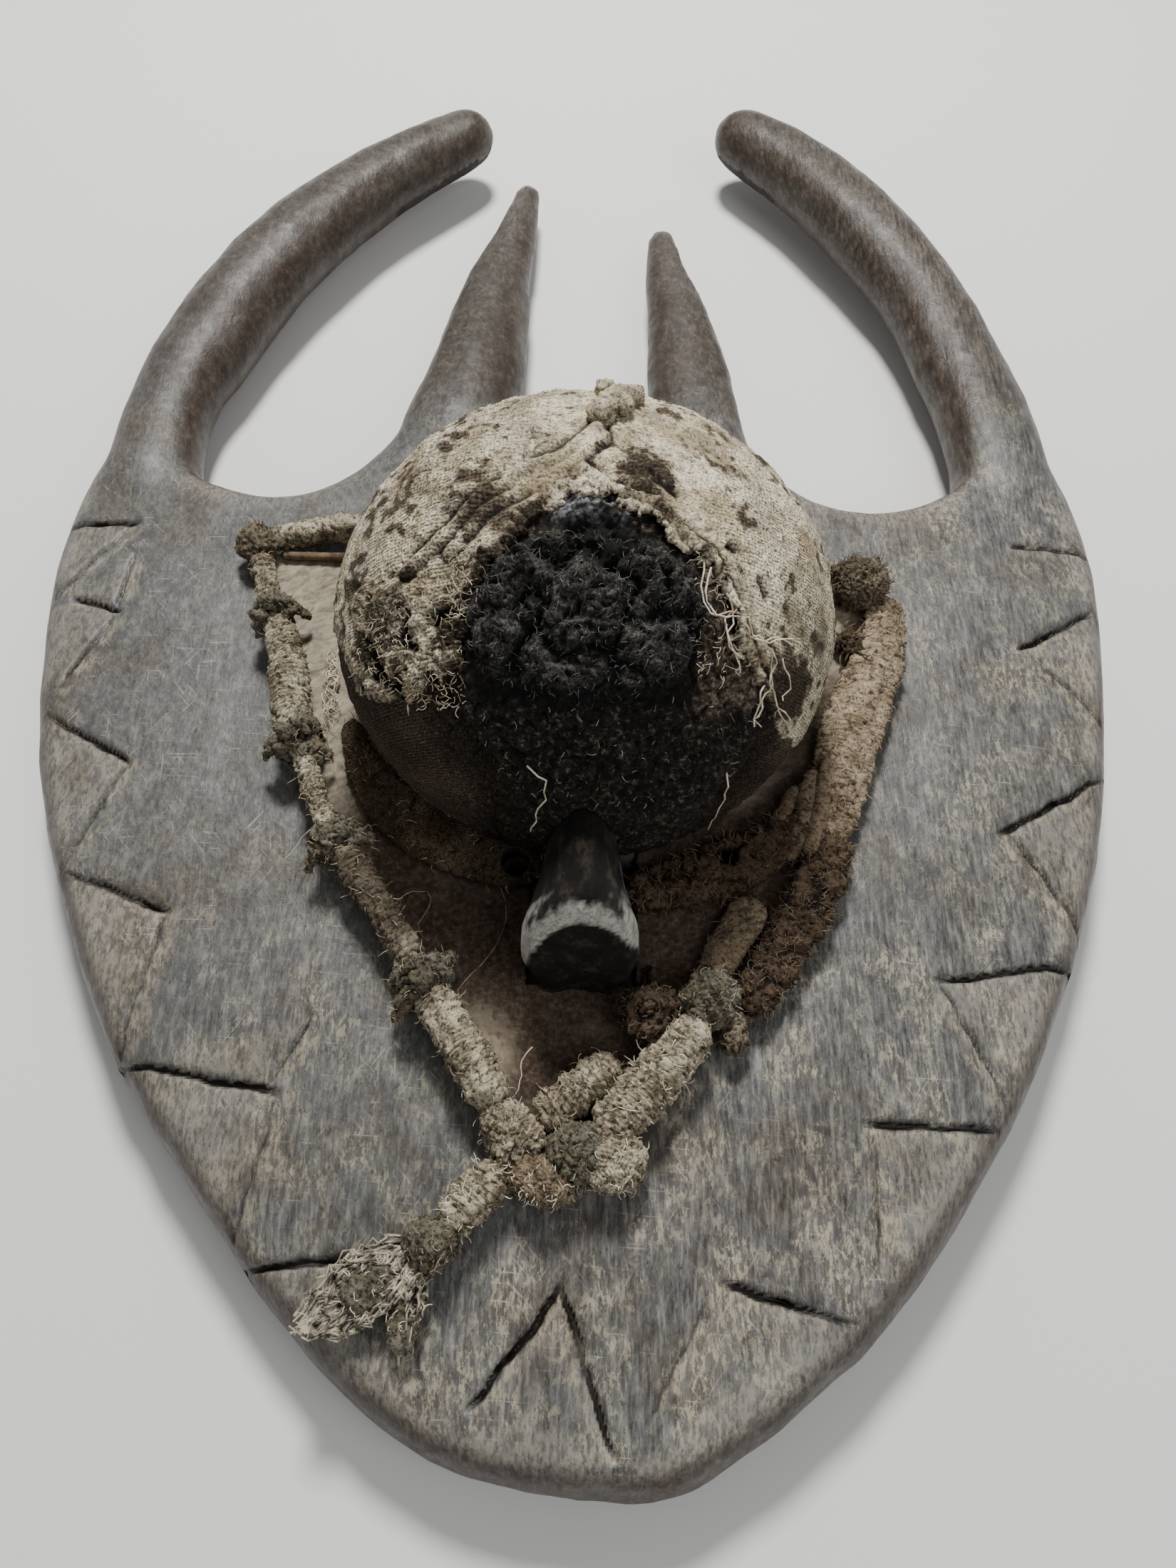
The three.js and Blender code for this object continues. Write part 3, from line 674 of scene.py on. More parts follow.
def crust_finish():
    """Dry packed mass: near black, with brown earth in places, and glossy tar with a painted highlight at its
    lip.
    """
    f = Finish("packed_crust")
    crumb = f.noise(1.8, 7, 0.78)
    lump = f.noise(6, 5, 0.65)

    def by_crumb(*stops):
        return f.steps(crumb, stops)

    # Black mass, its folds and fine wrinkles a little paler
    dark, middle, light = (0.0018, 0.0017, 0.0015), (0.014, 0.0135, 0.012), (0.12, 0.115, 0.102)
    colour = by_crumb((0.42, dark), (0.52, middle), (0.62, light))
    folds = f.fade(f.creases(3.2, 4, 0.62, 0.8), 0.0, 0.035, 0.9, 0.0)
    colour = f.mix(f.times(folds, f.fade(lump, 0.42, 0.56, 0.1, 1.0)), colour, (0.17, 0.162, 0.145))
    wrinkles = f.fade(f.creases(1.5, 3, 0.6, 0.6), 0.0, 0.04, 0.7, 0.0)
    colour = f.mix(f.times(wrinkles, f.fade(lump, 0.40, 0.58, 0.1, 1.0)), colour, (0.075, 0.071, 0.062))
    # Earth, darker where the mark is low
    dark, middle, light = (0.0025, 0.0018, 0.0012), (0.018, 0.012, 0.008), (0.20, 0.15, 0.10)
    low_earth = by_crumb((0.44, dark), (0.56, middle), (0.64, light))
    dark, middle, light = (0.006, 0.004, 0.003), (0.060, 0.041, 0.028), (0.24, 0.18, 0.125)
    high_earth = by_crumb((0.40, dark), (0.50, middle), (0.62, light))
    earth = f.mix(f.fade(f.mark("earth"), 0.6, 0.9), low_earth, high_earth)
    earthy = f.times(f.fade(f.mark("earth"), 0.0, 0.5), f.fade(lump, 0.38, 0.58, 0.6, 1.0))
    colour = f.mix(earthy, colour, earth)
    # Glossy tar at the lip, with bright blue-grey crumbs painted in as a highlight
    tar = f.mark("tar_gloss_and_highlight")
    tar_colour_with_highlight = by_crumb((0.42, (0.010, 0.010, 0.011)), (0.58, (0.34, 0.35, 0.37)))
    colour = f.mix(f.times(tar, 0.9), colour, tar_colour_with_highlight)
    # Painted shade in the creases, holes and cracks of the crust
    colour = f.mix(f.mark("pit"), colour, (0.0018, 0.0015, 0.0012))
    dullness = f.maths("SUBTRACT", 0.95, f.times(tar, 0.70))
    return f.done(colour, dullness, f.bumps((lump, 1.5, 0.6), (crumb, 1.1, 1.0)), 0.3)


def hide_finish():
    """Thin dry hide: pale and wrinkled at the top, brown and dirty towards the chin."""
    f = Finish("dry_hide")
    grain = f.noise(1.6, 6, 0.74)
    cloud = f.noise(14, 5, 0.65)
    wrinkle = f.noise(3.2, 5, 0.7, f.stretched((0.45, 1, 1), (0, 0, 0.5)), 0.6)
    dark, middle, light = (0.15, 0.125, 0.090), (0.27, 0.235, 0.175), (0.40, 0.35, 0.265)
    pale = f.steps(wrinkle, [(0.36, dark), (0.5, middle), (0.7, light)])
    dark, middle, light = (0.020, 0.013, 0.009), (0.060, 0.040, 0.027), (0.140, 0.100, 0.068)
    brown = f.steps(grain, [(0.34, dark), (0.52, middle), (0.70, light)])
    colour = f.mix(f.maths("ADD", f.mark("brown"), f.swing(cloud, 0.8), clamp=True), pale, brown)
    colour = f.mix(f.times(f.mark("dusty"), f.fade(cloud, 0.4, 0.6, 0.5, 1.0)), colour, (0.33, 0.285, 0.21))
    # Painted shade in the creases of the wrinkled hide
    colour = f.mix(f.mark("pit"), colour, (0.020, 0.014, 0.010))
    return f.done(colour, 0.8, f.bumps((wrinkle, 0.5, 0.7), (grain, 0.45, 0.6)), 0.25)


def roll_finish(name, light, dark, crust=1.0, ribbed=0.2):
    """Rolled cloth: ribs of thread under a dry crust, with painted shade in the creases and between the ribs,
    and dark where the tone mark says.
    """
    f = Finish(name)
    ribs = f.threads(1.25, 6.0)[0]
    patch = f.noise(2.2, 7, 0.78)
    fleck = f.noise(0.8, 4, 0.7)
    cloud = f.noise(11, 4, 0.6)
    crumb = f.noise(1.5, 5, 0.72)
    tone = f.mix(f.fade(cloud, 0.40, 0.60), light, scaled(light, 0.62, 0.58, 0.52))
    leather = f.mix(cloud, scaled(dark, 1.5), scaled(dark, 0.5))
    tone = f.mix(f.maths("ADD", f.mark("tone"), f.swing(patch, 0.6), clamp=True), tone, leather)
    colour = f.mix(f.fade(patch, 0.41, 0.50, 0.95, 0.0), tone, scaled(dark, 0.6))
    clean = f.maths("SUBTRACT", 1.0, f.mark("tone"), clamp=True)
    crumbs = f.times(f.fade(crumb, 0.53, 0.61, 0.0, 0.7), f.times(clean, crust))
    colour = f.mix(crumbs, colour, scaled(light, 1.3))
    colour = f.mix(f.fade(fleck, 0.37, 0.46, 0.8, 0.0), colour, scaled(dark, 0.2))
    shown = f.times(f.fade(cloud, 0.44, 0.58), ribbed)
    # Painted shade between the ribs
    colour = f.mix(f.times(f.fade(ribs, 0.0, 0.6, 1.0, 0.0), shown), colour, scaled(dark, 0.6))
    # Painted shade in the creases
    colour = f.mix(f.mark("pit"), colour, scaled(dark, 0.08))
    relief = f.bumps((f.times(ribs, shown), 0.8, 0.8), (crumb, 0.6, 0.8), (patch, 0.8 * crust, 0.7),
                     (fleck, 0.35, 0.6))
    return f.done(colour, 0.94, relief, 0.15)


def fibre_finish(name, light, dark):
    """Hair and loose thread, each stretch its own shade."""
    f = Finish(name)
    return f.done(f.mix(f.fade(f.noise(3.5, 4, 0.6), 0.36, 0.62), dark, light), 0.85, None, 0.2)


WOOD = wood_finish()
DOME_CLOTH = cloth_finish("forehead_cloth_weave", (0.96, 0.86, 0.64), (0.105, 0.080, 0.055), 1.15)
BROW_CLOTH = cloth_finish("brow_cloth_weave", (0.17, 0.13, 0.085), (0.060, 0.043, 0.029), 0.95)
CRUST = crust_finish()
HIDE = hide_finish()
ROLL_CLOTH = roll_finish("rolled_cloth", (0.56, 0.495, 0.37), (0.085, 0.064, 0.044), 1.0, 0.35)
BAND_CLOTH = roll_finish("pleated_cloth", (0.44, 0.365, 0.255), (0.110, 0.072, 0.045), 0.6, 0.15)
DARK_CLOTH = roll_finish("dark_rolled_cloth", (0.21, 0.175, 0.125), (0.045, 0.035, 0.025), 0.7, 0.0)
GREEN_CLOTH = roll_finish("greenish_knotted_cloth", (0.185, 0.172, 0.128), (0.032, 0.029, 0.021), 0.6, 0.0)
FUR = roll_finish("matted_fur", (0.105, 0.073, 0.048), (0.022, 0.015, 0.010), 0.3, 0.0)
PALE_FIBRE = fibre_finish("pale_fibre", (0.80, 0.73, 0.58), (0.36, 0.29, 0.20))
DUSTY_FIBRE = fibre_finish("dusty_fibre", (0.46, 0.38, 0.27), (0.10, 0.075, 0.05))
DARK_FIBRE = fibre_finish("dark_fibre", (0.20, 0.145, 0.095), (0.018, 0.013, 0.009))
SOOT_FIBRE = fibre_finish("soot_fibre", (0.22, 0.21, 0.19), (0.004, 0.0037, 0.0034))
REED_SKIN = fibre_finish("reed_skin", (0.20, 0.14, 0.085), (0.06, 0.042, 0.028))
CAP_FIBRE = fibre_finish("cap_fibre", (0.70, 0.61, 0.46), (0.20, 0.155, 0.105))
TASSEL_FIBRE = fibre_finish("tassel_fibre", (0.52, 0.47, 0.36), (0.022, 0.018, 0.013))


# Wooden body

# Each cut runs from its first x and y to its second
DEEP_CUTS = [
    (-191, 17, -164, 16), (-181, -20, -161, -27), (-177, -71, -143, -91), (-156, -130, -119, -145),
    (-128, -190, -78, -199), (-83, -245, -50, -242), (163, 11, 193, 10), (157, -38, 188, -18),
    (139, -112, 179, -87), (111, -162, 158, -154), (87, -204, 125, -204), (46, -246, 80, -255),
    (-19, -277, 4, -248), (4, -248, 18, -287),
]
LIGHT_CUTS = [
    (-166, 15, -188, -19), (-163, -28, -162, 0), (-163, -29, -177, -65), (-144, -90, -158, -130),
    (-120, -144, -127, -189), (-80, -198, -71, -177), (-78, -199, -85, -238), (160, -39, 182, -66),
    (142, -111, 161, -145), (114, -164, 129, -198), (90, -207, 88, -242), (42, -250, 26, -280),
    (-34, -261, -31, -272),
]
CUT_REACH = 13
SKIN_VOXEL = 0.0029
NOSE_X = 7
NOSE_TOP = 88
NOSE_FOOT_Z = 54.5
NOSE_WIDTHS = [(-169, 17.2), (-160, 17), (-148, 13), (-134, 10.2), (-98, 9.6)]
RIM_OUTER = (17.6, 30.6)
RIM_INNER = (16.0, 26.0)


def cut_samples(cut, spacing=1.0):
    x1, y1, x2, y2 = cut
    count = max(2, round(math.hypot(x2 - x1, y2 - y1) / spacing))
    return [(x1 + (x2 - x1) * i / count, y1 + (y2 - y1) * i / count) for i in range(count + 1)]


def remeshed(bm, voxel):
    """The same closed shape as one even skin."""
    mesh = bpy.data.meshes.new("skin")
    bm.to_mesh(mesh)
    bm.free()
    shape = bpy.data.objects.new("skin", mesh)
    bpy.context.scene.collection.objects.link(shape)
    even = shape.modifiers.new("even_skin", "REMESH")
    even.mode = "VOXEL"
    even.voxel_size = voxel
    result = bmesh.new()
    result.from_object(shape, bpy.context.evaluated_depsgraph_get())
    bpy.data.objects.remove(shape)
    bpy.data.meshes.remove(mesh)
    return result


def refine(bm, near_cuts, reach):
    """Halves the edges that lie near a cut."""
    edges = []
    for edge in bm.edges:
        middle = (edge.verts[0].co + edge.verts[1].co) / 2
        if middle.z > 14 and near_cuts.find((middle.x, middle.y, 0))[2] < reach:
            edges.append(edge)
    bmesh.ops.subdivide_edges(bm, edges=edges, cuts=1, use_grid_fill=True)


def smoothed(bm, verts, times):
    for _ in range(times):
        bmesh.ops.smooth_vert(bm, verts=verts, factor=0.5, use_axis_x=True, use_axis_y=True, use_axis_z=True)


def carve(x, y, cut, deep):
    """One chip cut at x, y, steep on its upper side with a long ramp below: its depth, its painted shade and
    its dust.
    """
    x1, y1, x2, y2 = cut
    length = math.hypot(x2 - x1, y2 - y1)
    dx, dy = (x2 - x1) / length, (y2 - y1) / length
    nx, ny = (-dy, dx) if dx > 0 else (dy, -dx)
    share = ((x - x1) * dx + (y - y1) * dy) / length
    if not -0.03 < share < 1.03:
        return 0, 0, 0
    here = (x, y, 0)
    gap = (x - x1) * nx + (y - y1) * ny + 1.0 * wave(here, 8, x1) + 0.35 * rough(here, 3.2, y1, 3)
    ends = min(1, (share + 0.03) / 0.16) * min(1, (1.03 - share) / 0.16)
    ends = math.sqrt(max(0.0, ends)) * (0.8 + 0.35 * wave(here, 12, y1))
    if deep:
        slit = max(0, 1 - gap / 0.8) if gap > 0 else max(0, 1 + gap / 1.8)
        slope = max(0, 1 - gap / 2.5) if gap > 0 else max(0, 1 + gap / 9)
        depth = 2.8 * slit + 1.0 * slope
        dust = ramp(-gap, 1.2, 2.4) * ramp(7 + gap, 0, 4) * 0.6
        return depth * ends, ends * ramp(slit, 0.05, 0.4), ends * dust
    slit = max(0, 1 - abs(gap) / 0.9)
    slope = max(0, 1 - gap / 2) if gap > 0 else max(0, 1 + gap / 9)
    dust = ends * ramp(3.6 - abs(gap + 2.6), 0, 2.4) * ramp(wave(here, 6, 4), -0.45, 0.1)
    return (1.3 * slit + 0.9 * slope) * ends, 0.75 * ends * ramp(slit, 0.1, 0.6), 0.7 * dust


def facets():
    """The slanting triangles between each deep cut and the light cut that leaves its inner end."""
    found = []
    for x1, y1, x2, y2 in LIGHT_CUTS:
        for x3, y3, x4, y4 in DEEP_CUTS:
            for inner, outer in (((x3, y3), (x4, y4)), ((x4, y4), (x3, y3))):
                if math.hypot(x1 - inner[0], y1 - inner[1]) < 6 and abs(outer[0]) > abs(inner[0]):
                    found.append([(x1, y1), (x2, y2), outer])
    return found


FACETS = [(corners, box_round(corners, 2)) for corners in facets()]
CUTS = [(cut, deep, box_round((cut[:2], cut[2:]), CUT_REACH))
        for cuts, deep in ((DEEP_CUTS, True), (LIGHT_CUTS, False)) for cut in cuts]


def all_cuts(x, y):
    """How deep a place is, how much painted shade it gets and how dusty it is, from the cuts and the facets
    between them.
    """
    depth, dark, dusty = 0.0, 0.0, 0.0
    for corners, box in FACETS:
        if in_box(x, y, box):
            dusty = max(dusty, 0.28 * ramp(inside(x, y, corners) + 2 * wave((x, y, 0), 5, 6), -1, 3))
    for cut, deep, box in CUTS:
        if in_box(x, y, box):
            low, dark_here, dusty_here = carve(x, y, cut, deep)
            depth, dark, dusty = max(depth, low), max(dark, dark_here), max(dusty, dusty_here)
    return depth, dark, dusty


def adze(p):
    """Shallow marks of the blade, longer down the mask than across it."""
    long_way = Vector((p.x, p.y * 0.45, p.z))
    return 0.6 * wave(long_way, 17, 1) + 0.24 * rough(long_way, 7, 2, 3)


def nose_rub_and_highlight(p):
    """How pale the nose is: its cut end is rubbed round the upper rim and so is its right side, and both
    carry a painted highlight.
    """
    x, z = p.x - NOSE_X, p.z - NOSE_FOOT_Z
    drift = 0.035 * wave(p, 3, 8) + 0.02 * wave(p, 1.2, 9)
    on_end = ramp(-p.y, 157.5, 159.5) * ramp(z, -1, 3)
    outer = ramp(1.03 + drift - math.hypot(x / RIM_OUTER[0], z / RIM_OUTER[1]), -0.03, 0.03)
    from_hollow = math.hypot((x - 0.9) / RIM_INNER[0], (z + 0.6) / RIM_INNER[1])
    inner = ramp(from_hollow - 1 + 0.3 * drift, -0.01, 0.02)
    side = 0.30 * ramp(x, 8, 13) * ramp(-p.y, 128, 145) * ramp(z, -4, 10) * ramp(wave(p, 4, 5), -0.1, 0.2)
    return max(on_end * outer * inner, side * (1 - on_end))


def shaped_nose(bm, solid):
    """Finer skin on the nose, laid back on the solid, with its top rounded over from side to side."""
    def on_nose(p):
        return p.y < -100 and abs(p.x - NOSE_X) < 20 and p.z > 50

    edges = [e for e in bm.edges if on_nose(e.verts[0].co) and on_nose(e.verts[1].co)]
    bmesh.ops.subdivide_edges(bm, edges=edges, cuts=1, use_grid_fill=True)
    nose = [v for v in bm.verts if on_nose(v.co)]
    for v in nose:
        v.co = v.co.lerp(solid.find_nearest(v.co)[0], ramp(-v.co.y, 100, 112))
        x, z = v.co.x - NOSE_X, v.co.z - NOSE_FOOT_Z
        over = math.hypot(x / along_table(NOSE_WIDTHS, v.co.y), z / (NOSE_TOP - NOSE_FOOT_Z))
        if z > 0 and over > 1:
            share = ramp(-v.co.y, 104, 124)
            v.co.x -= x * (1 - 1 / over) * share
            v.co.z -= z * (1 - 1 / over) * share
    smoothed(bm, nose, 2)


def finer_near_cuts(bm):
    """Halves the skin's edges twice near the cuts, and gives a search for the nearest cut."""
    samples = [spot for cut in DEEP_CUTS + LIGHT_CUTS for spot in cut_samples(cut)]
    near_cuts = kdtree.KDTree(len(samples))
    for i, (x, y) in enumerate(samples):
        near_cuts.insert((x, y, 0), i)
    near_cuts.balance()
    refine(bm, near_cuts, 6)
    refine(bm, near_cuts, 3.6)
    return near_cuts


def crests(bm):
    """How far each point stands out of the broad shape, for worn edges and dirt."""
    broad = bm.copy()
    smoothed(broad, broad.verts, 14)
    broad.verts.ensure_lookup_table()
    relief = [(v.co - broad.verts[v.index].co).dot(v.normal) for v in bm.verts]
    broad.free()
    return relief


def wooden_body():
    bm = bmesh.new()
    bm.from_mesh(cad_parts["wooden_body"].data)
    bmesh.ops.remove_doubles(bm, verts=bm.verts, dist=1e-6)
    solid = bm.copy()
    bmesh.ops.transform(solid, matrix=TO_DRAWING, verts=solid.verts)
    solid_skin = bvhtree.BVHTree.FromBMesh(solid)
    solid.free()
    bm = remeshed(bm, SKIN_VOXEL)
    bmesh.ops.transform(bm, matrix=TO_DRAWING, verts=bm.verts)

    def on_dome(p):
        return p.z > 46 and math.hypot(p.x - DOME_CENTRE.x, p.y - DOME_CENTRE.y) < 80

    smoothed(bm, [v for v in bm.verts if 8 < v.co.y < 110 and not on_dome(v.co)], 16)
    smoothed(bm, [v for v in bm.verts if not (v.co.y < -90 and v.co.z > 46)], 6)
    shaped_nose(bm, solid_skin)
    near_cuts = finer_near_cuts(bm)
    bm.normal_update()
    relief = crests(bm)
    wear_and_shade, rim, soot_and_shade, pale, dust, flecked = marks_on(bm, "wear_and_shade", "rim", "soot_and_shade", "pale", "dust", "flecked")
    for i, v in enumerate(bm.verts):
        p, normal = v.co, v.normal
        p += normal * adze(p)
        sunk, dark = 0.0, 0.0
        if p.z > 12 and normal.z > 0.25 and near_cuts.find((p.x, p.y, 0))[2] < CUT_REACH:
            sunk, dark, v[dust] = all_cuts(p.x, p.y)
            p.z -= sunk
        speckled = 0.35 + 0.35 * p.x / 150 + 0.45 * ramp(-p.y, 60, 220) + 0.3 * wave(p, 50, 4)
        v[flecked] = min(1, max(0, speckled))
        # Worn crests pale, hollows dark, and painted shade in the cuts' slits
        v[wear_and_shade] = min(1, max(0, 0.5 + relief[i] * 0.9 * (1 - 0.6 * ramp(p.y, 20, 60)) - dark * 0.6))
        # Red-brown patina on the handled rim and the horns, with painted shade on faces turned sideways and
        # on the horns' inner sides
        inward = -normal.x if p.x > 0 else normal.x
        on_horn = ramp(p.y, 40, 110)
        edge = ramp(0.985 - normal.z, 0.02, 0.42) * (1 - 0.5 * on_horn)
        v[rim] = min(1, edge + on_horn * (0.72 + 0.28 * ramp(inward, 0.0, 0.5)))
        # Soot on the nose, with its pale rim; painted shade on the wood under the dome's cloth and on faces
        # turned downward
        if p.y < -96 and abs(p.x - NOSE_X) < 22 and p.z > 42:
            v[soot_and_shade], v[pale] = 1.0, nose_rub_and_highlight(p)
        elif (p - DOME_CENTRE).length < 92 and p.z > 42:
            v[soot_and_shade] = 1.0
        elif normal.z < -0.2 and p.z > 1.5 and abs(p.x) < 90:
            v[soot_and_shade] = 0.75
    finish_piece("carved_wood", bm, WOOD, ["wooden_body"])


# Forehead dome: torn cloth cap and packed crust

HEM_HEIGHT = 47.5
# The torn opening and what borders it, as places across and up the dome's slope
TEAR_OUTLINE = [
    (-1, 39), (9, 36), (20, 31), (29, 23), (36, 15), (40, 5), (45, -6), (47, -15), (43, -27), (36, -39),
    (29, -52), (24, -68), (22, -95), (-12, -95), (-12, -60), (-13, -40), (-20, -26), (-29, -14), (-31, -6),
    (-30, 2), (-31, 8), (-27, 16), (-21, 23), (-12, 32),
]
# Lowest place of the pale, crusted cloth for each place across
PALE_EDGE = [
    (-80, 2), (-70, -5), (-61, -17), (-47, -15), (-37, -9), (-30, -6), (40, -5), (46, -9), (56, -26),
    (66, -34), (80, -42),
]
# Dark patches of the pale cloth: middle, reach, squeeze across, raggedness, width of the edge, strength
DARK_PATCHES = [
    ((56, -12), 14, 1.4, 2, 8, 1), ((17, 45), 9, 0.7, 1.6, 7, 1), ((-27, 34), 10, 0.6, 1.6, 9, 0.8),
]
SEAMS = [
    [(4, 58), (-5, 50), (-14, 46), (-28, 38), (-38, 27), (-48, 18)],
    [(5, 54), (-5, 46.5), (-13, 42.5), (-26, 34.5), (-35, 24)],
    [(4, 58), (-2, 47), (8, 40), (20, 36), (29, 27), (37, 18), (41, 7), (46, -4), (50, -15)],
    [(3, 44), (8, 36.8), (19, 32.5), (26, 25)],
]
BROKEN_SEAM = [(13, 48), (21, 42), (29, 35), (37, 28), (44, 21), (49, 14)]
FLUFF_CENTRE = (1, 9)
FLUFF_SEMI = (31, 21)
PIT_SPOT = (5, 27.5)
PIT_SEMI = (10, 6.5)
LIP_SPOT = (2, 36.5)
LIP_SEMI = (13, 4.2)
CAP_GRID = (590, 250)
CRUST_GRID = (210, 270)


def dome_skin(columns, rows, direction, keep):
    """Part of the dome's skin: a fine grid bent over it, cut where keep(place) is false.

    direction(u, v) is the way out of the dome's middle for shares across and up the grid.
    """
    bm = bmesh.new()
    bmesh.ops.create_grid(bm, x_segments=columns, y_segments=rows, size=0.5)
    for vert in bm.verts:
        out = direction(vert.co.x + 0.5, vert.co.y + 0.5)
        vert.co = DOME_CENTRE + Vector((out.x * DOME_SEMI.x, out.y * DOME_SEMI.y, out.z * DOME_SEMI.z))
    bmesh.ops.remove_doubles(bm, verts=[v for v in bm.verts if v.is_boundary], dist=1e-3)
    bm.normal_update()
    first = next(iter(bm.faces))
    if first.normal.dot(first.calc_center_median() - DOME_CENTRE) < 0:
        bmesh.ops.reverse_faces(bm, faces=bm.faces)
    bmesh.ops.delete(bm, geom=[f for f in bm.faces if not keep(f.calc_center_median())], context="FACES")
    return bm


def round_the_slope(u, v):
    """Ways out of the dome in rings round the middle of its forward slope."""
    turn, lean = 2 * math.pi * u, math.radians(16 + 146 * v)
    ring = Vector((math.sin(lean) * math.cos(turn), math.sin(lean) * math.sin(turn), math.cos(lean)))
    return Matrix.Rotation(math.pi / 4, 3, "X") @ ring


def over_the_front(u, v):
    """Ways out of the dome over its front, from side to side and from the foot to the top."""
    side, rise = math.radians(-34 + 84 * u), math.radians(-32 + 120 * v)
    return Vector((math.sin(side), -math.cos(side) * math.cos(rise), math.cos(side) * math.sin(rise)))


def weave_map(bm):
    """Flat map for the threads of the cap: its cloth runs straight down from the top."""
    flat = bm.loops.layers.uv.new("weave")
    for face in bm.faces:
        for loop in face.loops:
            q = loop.vert.co - DOME_CENTRE
            out = Vector((q.x / DOME_SEMI.x, q.y / DOME_SEMI.y, q.z / DOME_SEMI.z)).normalized()
            lean = math.acos(max(-1, min(1, out.z))) * 70
            turn = math.atan2(out.y, out.x)
            loop[flat].uv = (lean * math.cos(turn), lean * math.sin(turn))


TEAR_CHART = Chart(lambda x, y: inside(x, y, TEAR_OUTLINE), (-80, -84), (80, 72), 1)
SEAM_CHART = Chart(lambda x, y: min(near_line(x, y, seam) for seam in SEAMS), (-56, -22), (56, 64), 0.5)


def torn(p):
    """Distance inside the torn opening of the cap, negative outside, along its ragged edge."""
    across, up, out = slope_spot(p)
    if out < -5 or p.z < HEM_HEIGHT - 3:
        return -50.0
    gap = TEAR_CHART.at(across, up)
    if abs(gap) > 8:
        return gap
    return gap + 2.2 * wave(p, 7, 3) + 1.5 * wave(p, 2.8, 5) + 0.7 * wave(p, 1.3, 7)


def seam_relief(p, across, up):
    """Height and shade of the cap's raised seams and of the row of holes along its broken one."""
    drift = 1.2 * wave(p, 8, 2)
    line = SEAM_CHART.at(across + drift, up + drift)
    height = 1.2 * math.exp(-(line / 1.0) ** 2) - 0.8 * math.exp(-((line - 2.2) / 0.7) ** 2)
    pit = math.exp(-((line - 2.0) / 0.75) ** 2) * ramp(wave(p, 9, 30), -0.45, -0.1)
    if 8 < across < 54 and 8 < up < 54:
        line = near_line(across, up, BROKEN_SEAM) + 0.8 * wave(p, 4, 29)
        hole = math.exp(-(line / 1.4) ** 2) * ramp(wave(p, 8, 28) + 0.6 * wave(p, 2.8, 27), 0.06, 0.26)
        height -= 1.5 * hole
        pit = max(pit, hole)
    return height, pit


def cap_relief(p):
    """Height of the cap's crusted cloth, how deep in shade and how soiled it is, and how much weave shows."""
    across, up, out = slope_spot(p)
    into_tear = torn(p)
    ragged = 2.4 * wave(p, 7, 13) + 1.8 * wave(p, 2.6, 15) + 0.9 * wave(p, 1.3, 16)
    pale = ramp(up - along_table(PALE_EDGE, across) + ragged, -0.4, 0.8) if out > -30 else 1.0
    near_tear = ramp(into_tear, -9, 0)
    left_rags = ramp(-across + ragged, 24, 30) * ramp(68 + across, 0, 8) * ramp(22 - up - ragged, 0, 14)
    coarse = max(near_tear, left_rags, 0.3 * ramp(-across, 0, 20))
    sides = max(ramp(abs(across - 2), 46, 60), 0.75 * ramp(across + 3 * ragged, 22, 44)) * (1 - near_tear)
    crusted = pale * (1 - 0.75 * sides * (1 - left_rags))

    # Flaking, crumbly crust, with holes in its rags at the left
    layers, crack = flakes(Vector((p.x, p.y * 1.2, p.z)), 11, 21)
    big, small = lumps_of(p, 4.4, 23), lumps_of(p, 2.1, 22)
    crumbs = (0.16 + 0.75 * coarse) * (0.7 * big + 0.8 * small - 0.5)
    height = crusted * ((0.30 + 0.55 * coarse) * layers + crumbs)
    height += (0.25 + 0.35 * (1 - crusted)) * rough(p, 3, 24, 3) + 0.6 * wave(p, 16, 25)
    height += pale * (0.5 + 1.5 * ramp(coarse, 0.1, 0.8))
    pit = crusted * max(crack * (0.6 + 0.4 * coarse), between_lumps(0.36, big, small) * (0.1 + 0.9 * coarse))
    gap = left_rags * pale * ramp(wave(p, 5.5, 26), 0.12, 0.26)
    height -= 2.4 * gap

    # Below the pale cloth, near the tear: black packed crumbs
    under_tear = ramp(into_tear, -20, -3) * ramp(-up, -4, 4)
    sooty = (1 - pale) * max(under_tear, ramp(40 - abs(across - 2), 0, 16) * ramp(-up, 12, 24))
    height += sooty * (1.1 * big + 0.8 * small - 0.8)
    pit = max(pit, gap, sooty * between_lumps(0.4, big, small))
    if out > -10:
        rise, groove = seam_relief(p, across, up)
        height += rise
        pit = max(pit, groove)

    # Soil and weave
    dark_patch = 0.0
    for (x, y), reach, squeeze, raggedness, edge, strength in DARK_PATCHES:
        within = reach - math.hypot((across - x) * squeeze, up - y) + raggedness * ragged
        dark_patch = max(dark_patch, strength * ramp(within, 0, edge))
    smudge = 0.6 * ramp(wave(p, 13, 31) + 0.9 * rough(p, 4, 32, 4) + 0.25 * ramp(-across, 6, 50), 0.05, 0.8)
    halo = 0.8 * ramp(into_tear + 1.5 * ragged, -7, 0) * ramp(-across, 0, 14)
    hem = ramp(70 - p.z, 0, 14)
    below = 0.66 + 0.34 * sooty - 0.22 * hem * (1 - sooty) + 0.2 * wave(p, 13, 33)
    soil = max((1 - pale) * below, 0.75 * dark_patch, smudge, halo)
    on_pale = (0.3 + 0.5 * ramp(-across, 4, 36)) * pale
    woven = max(sides * (1 - 0.5 * coarse), on_pale, (1 - pale) * (1 - sooty))
    return height, min(1, pit), min(1, max(0, soil)), woven


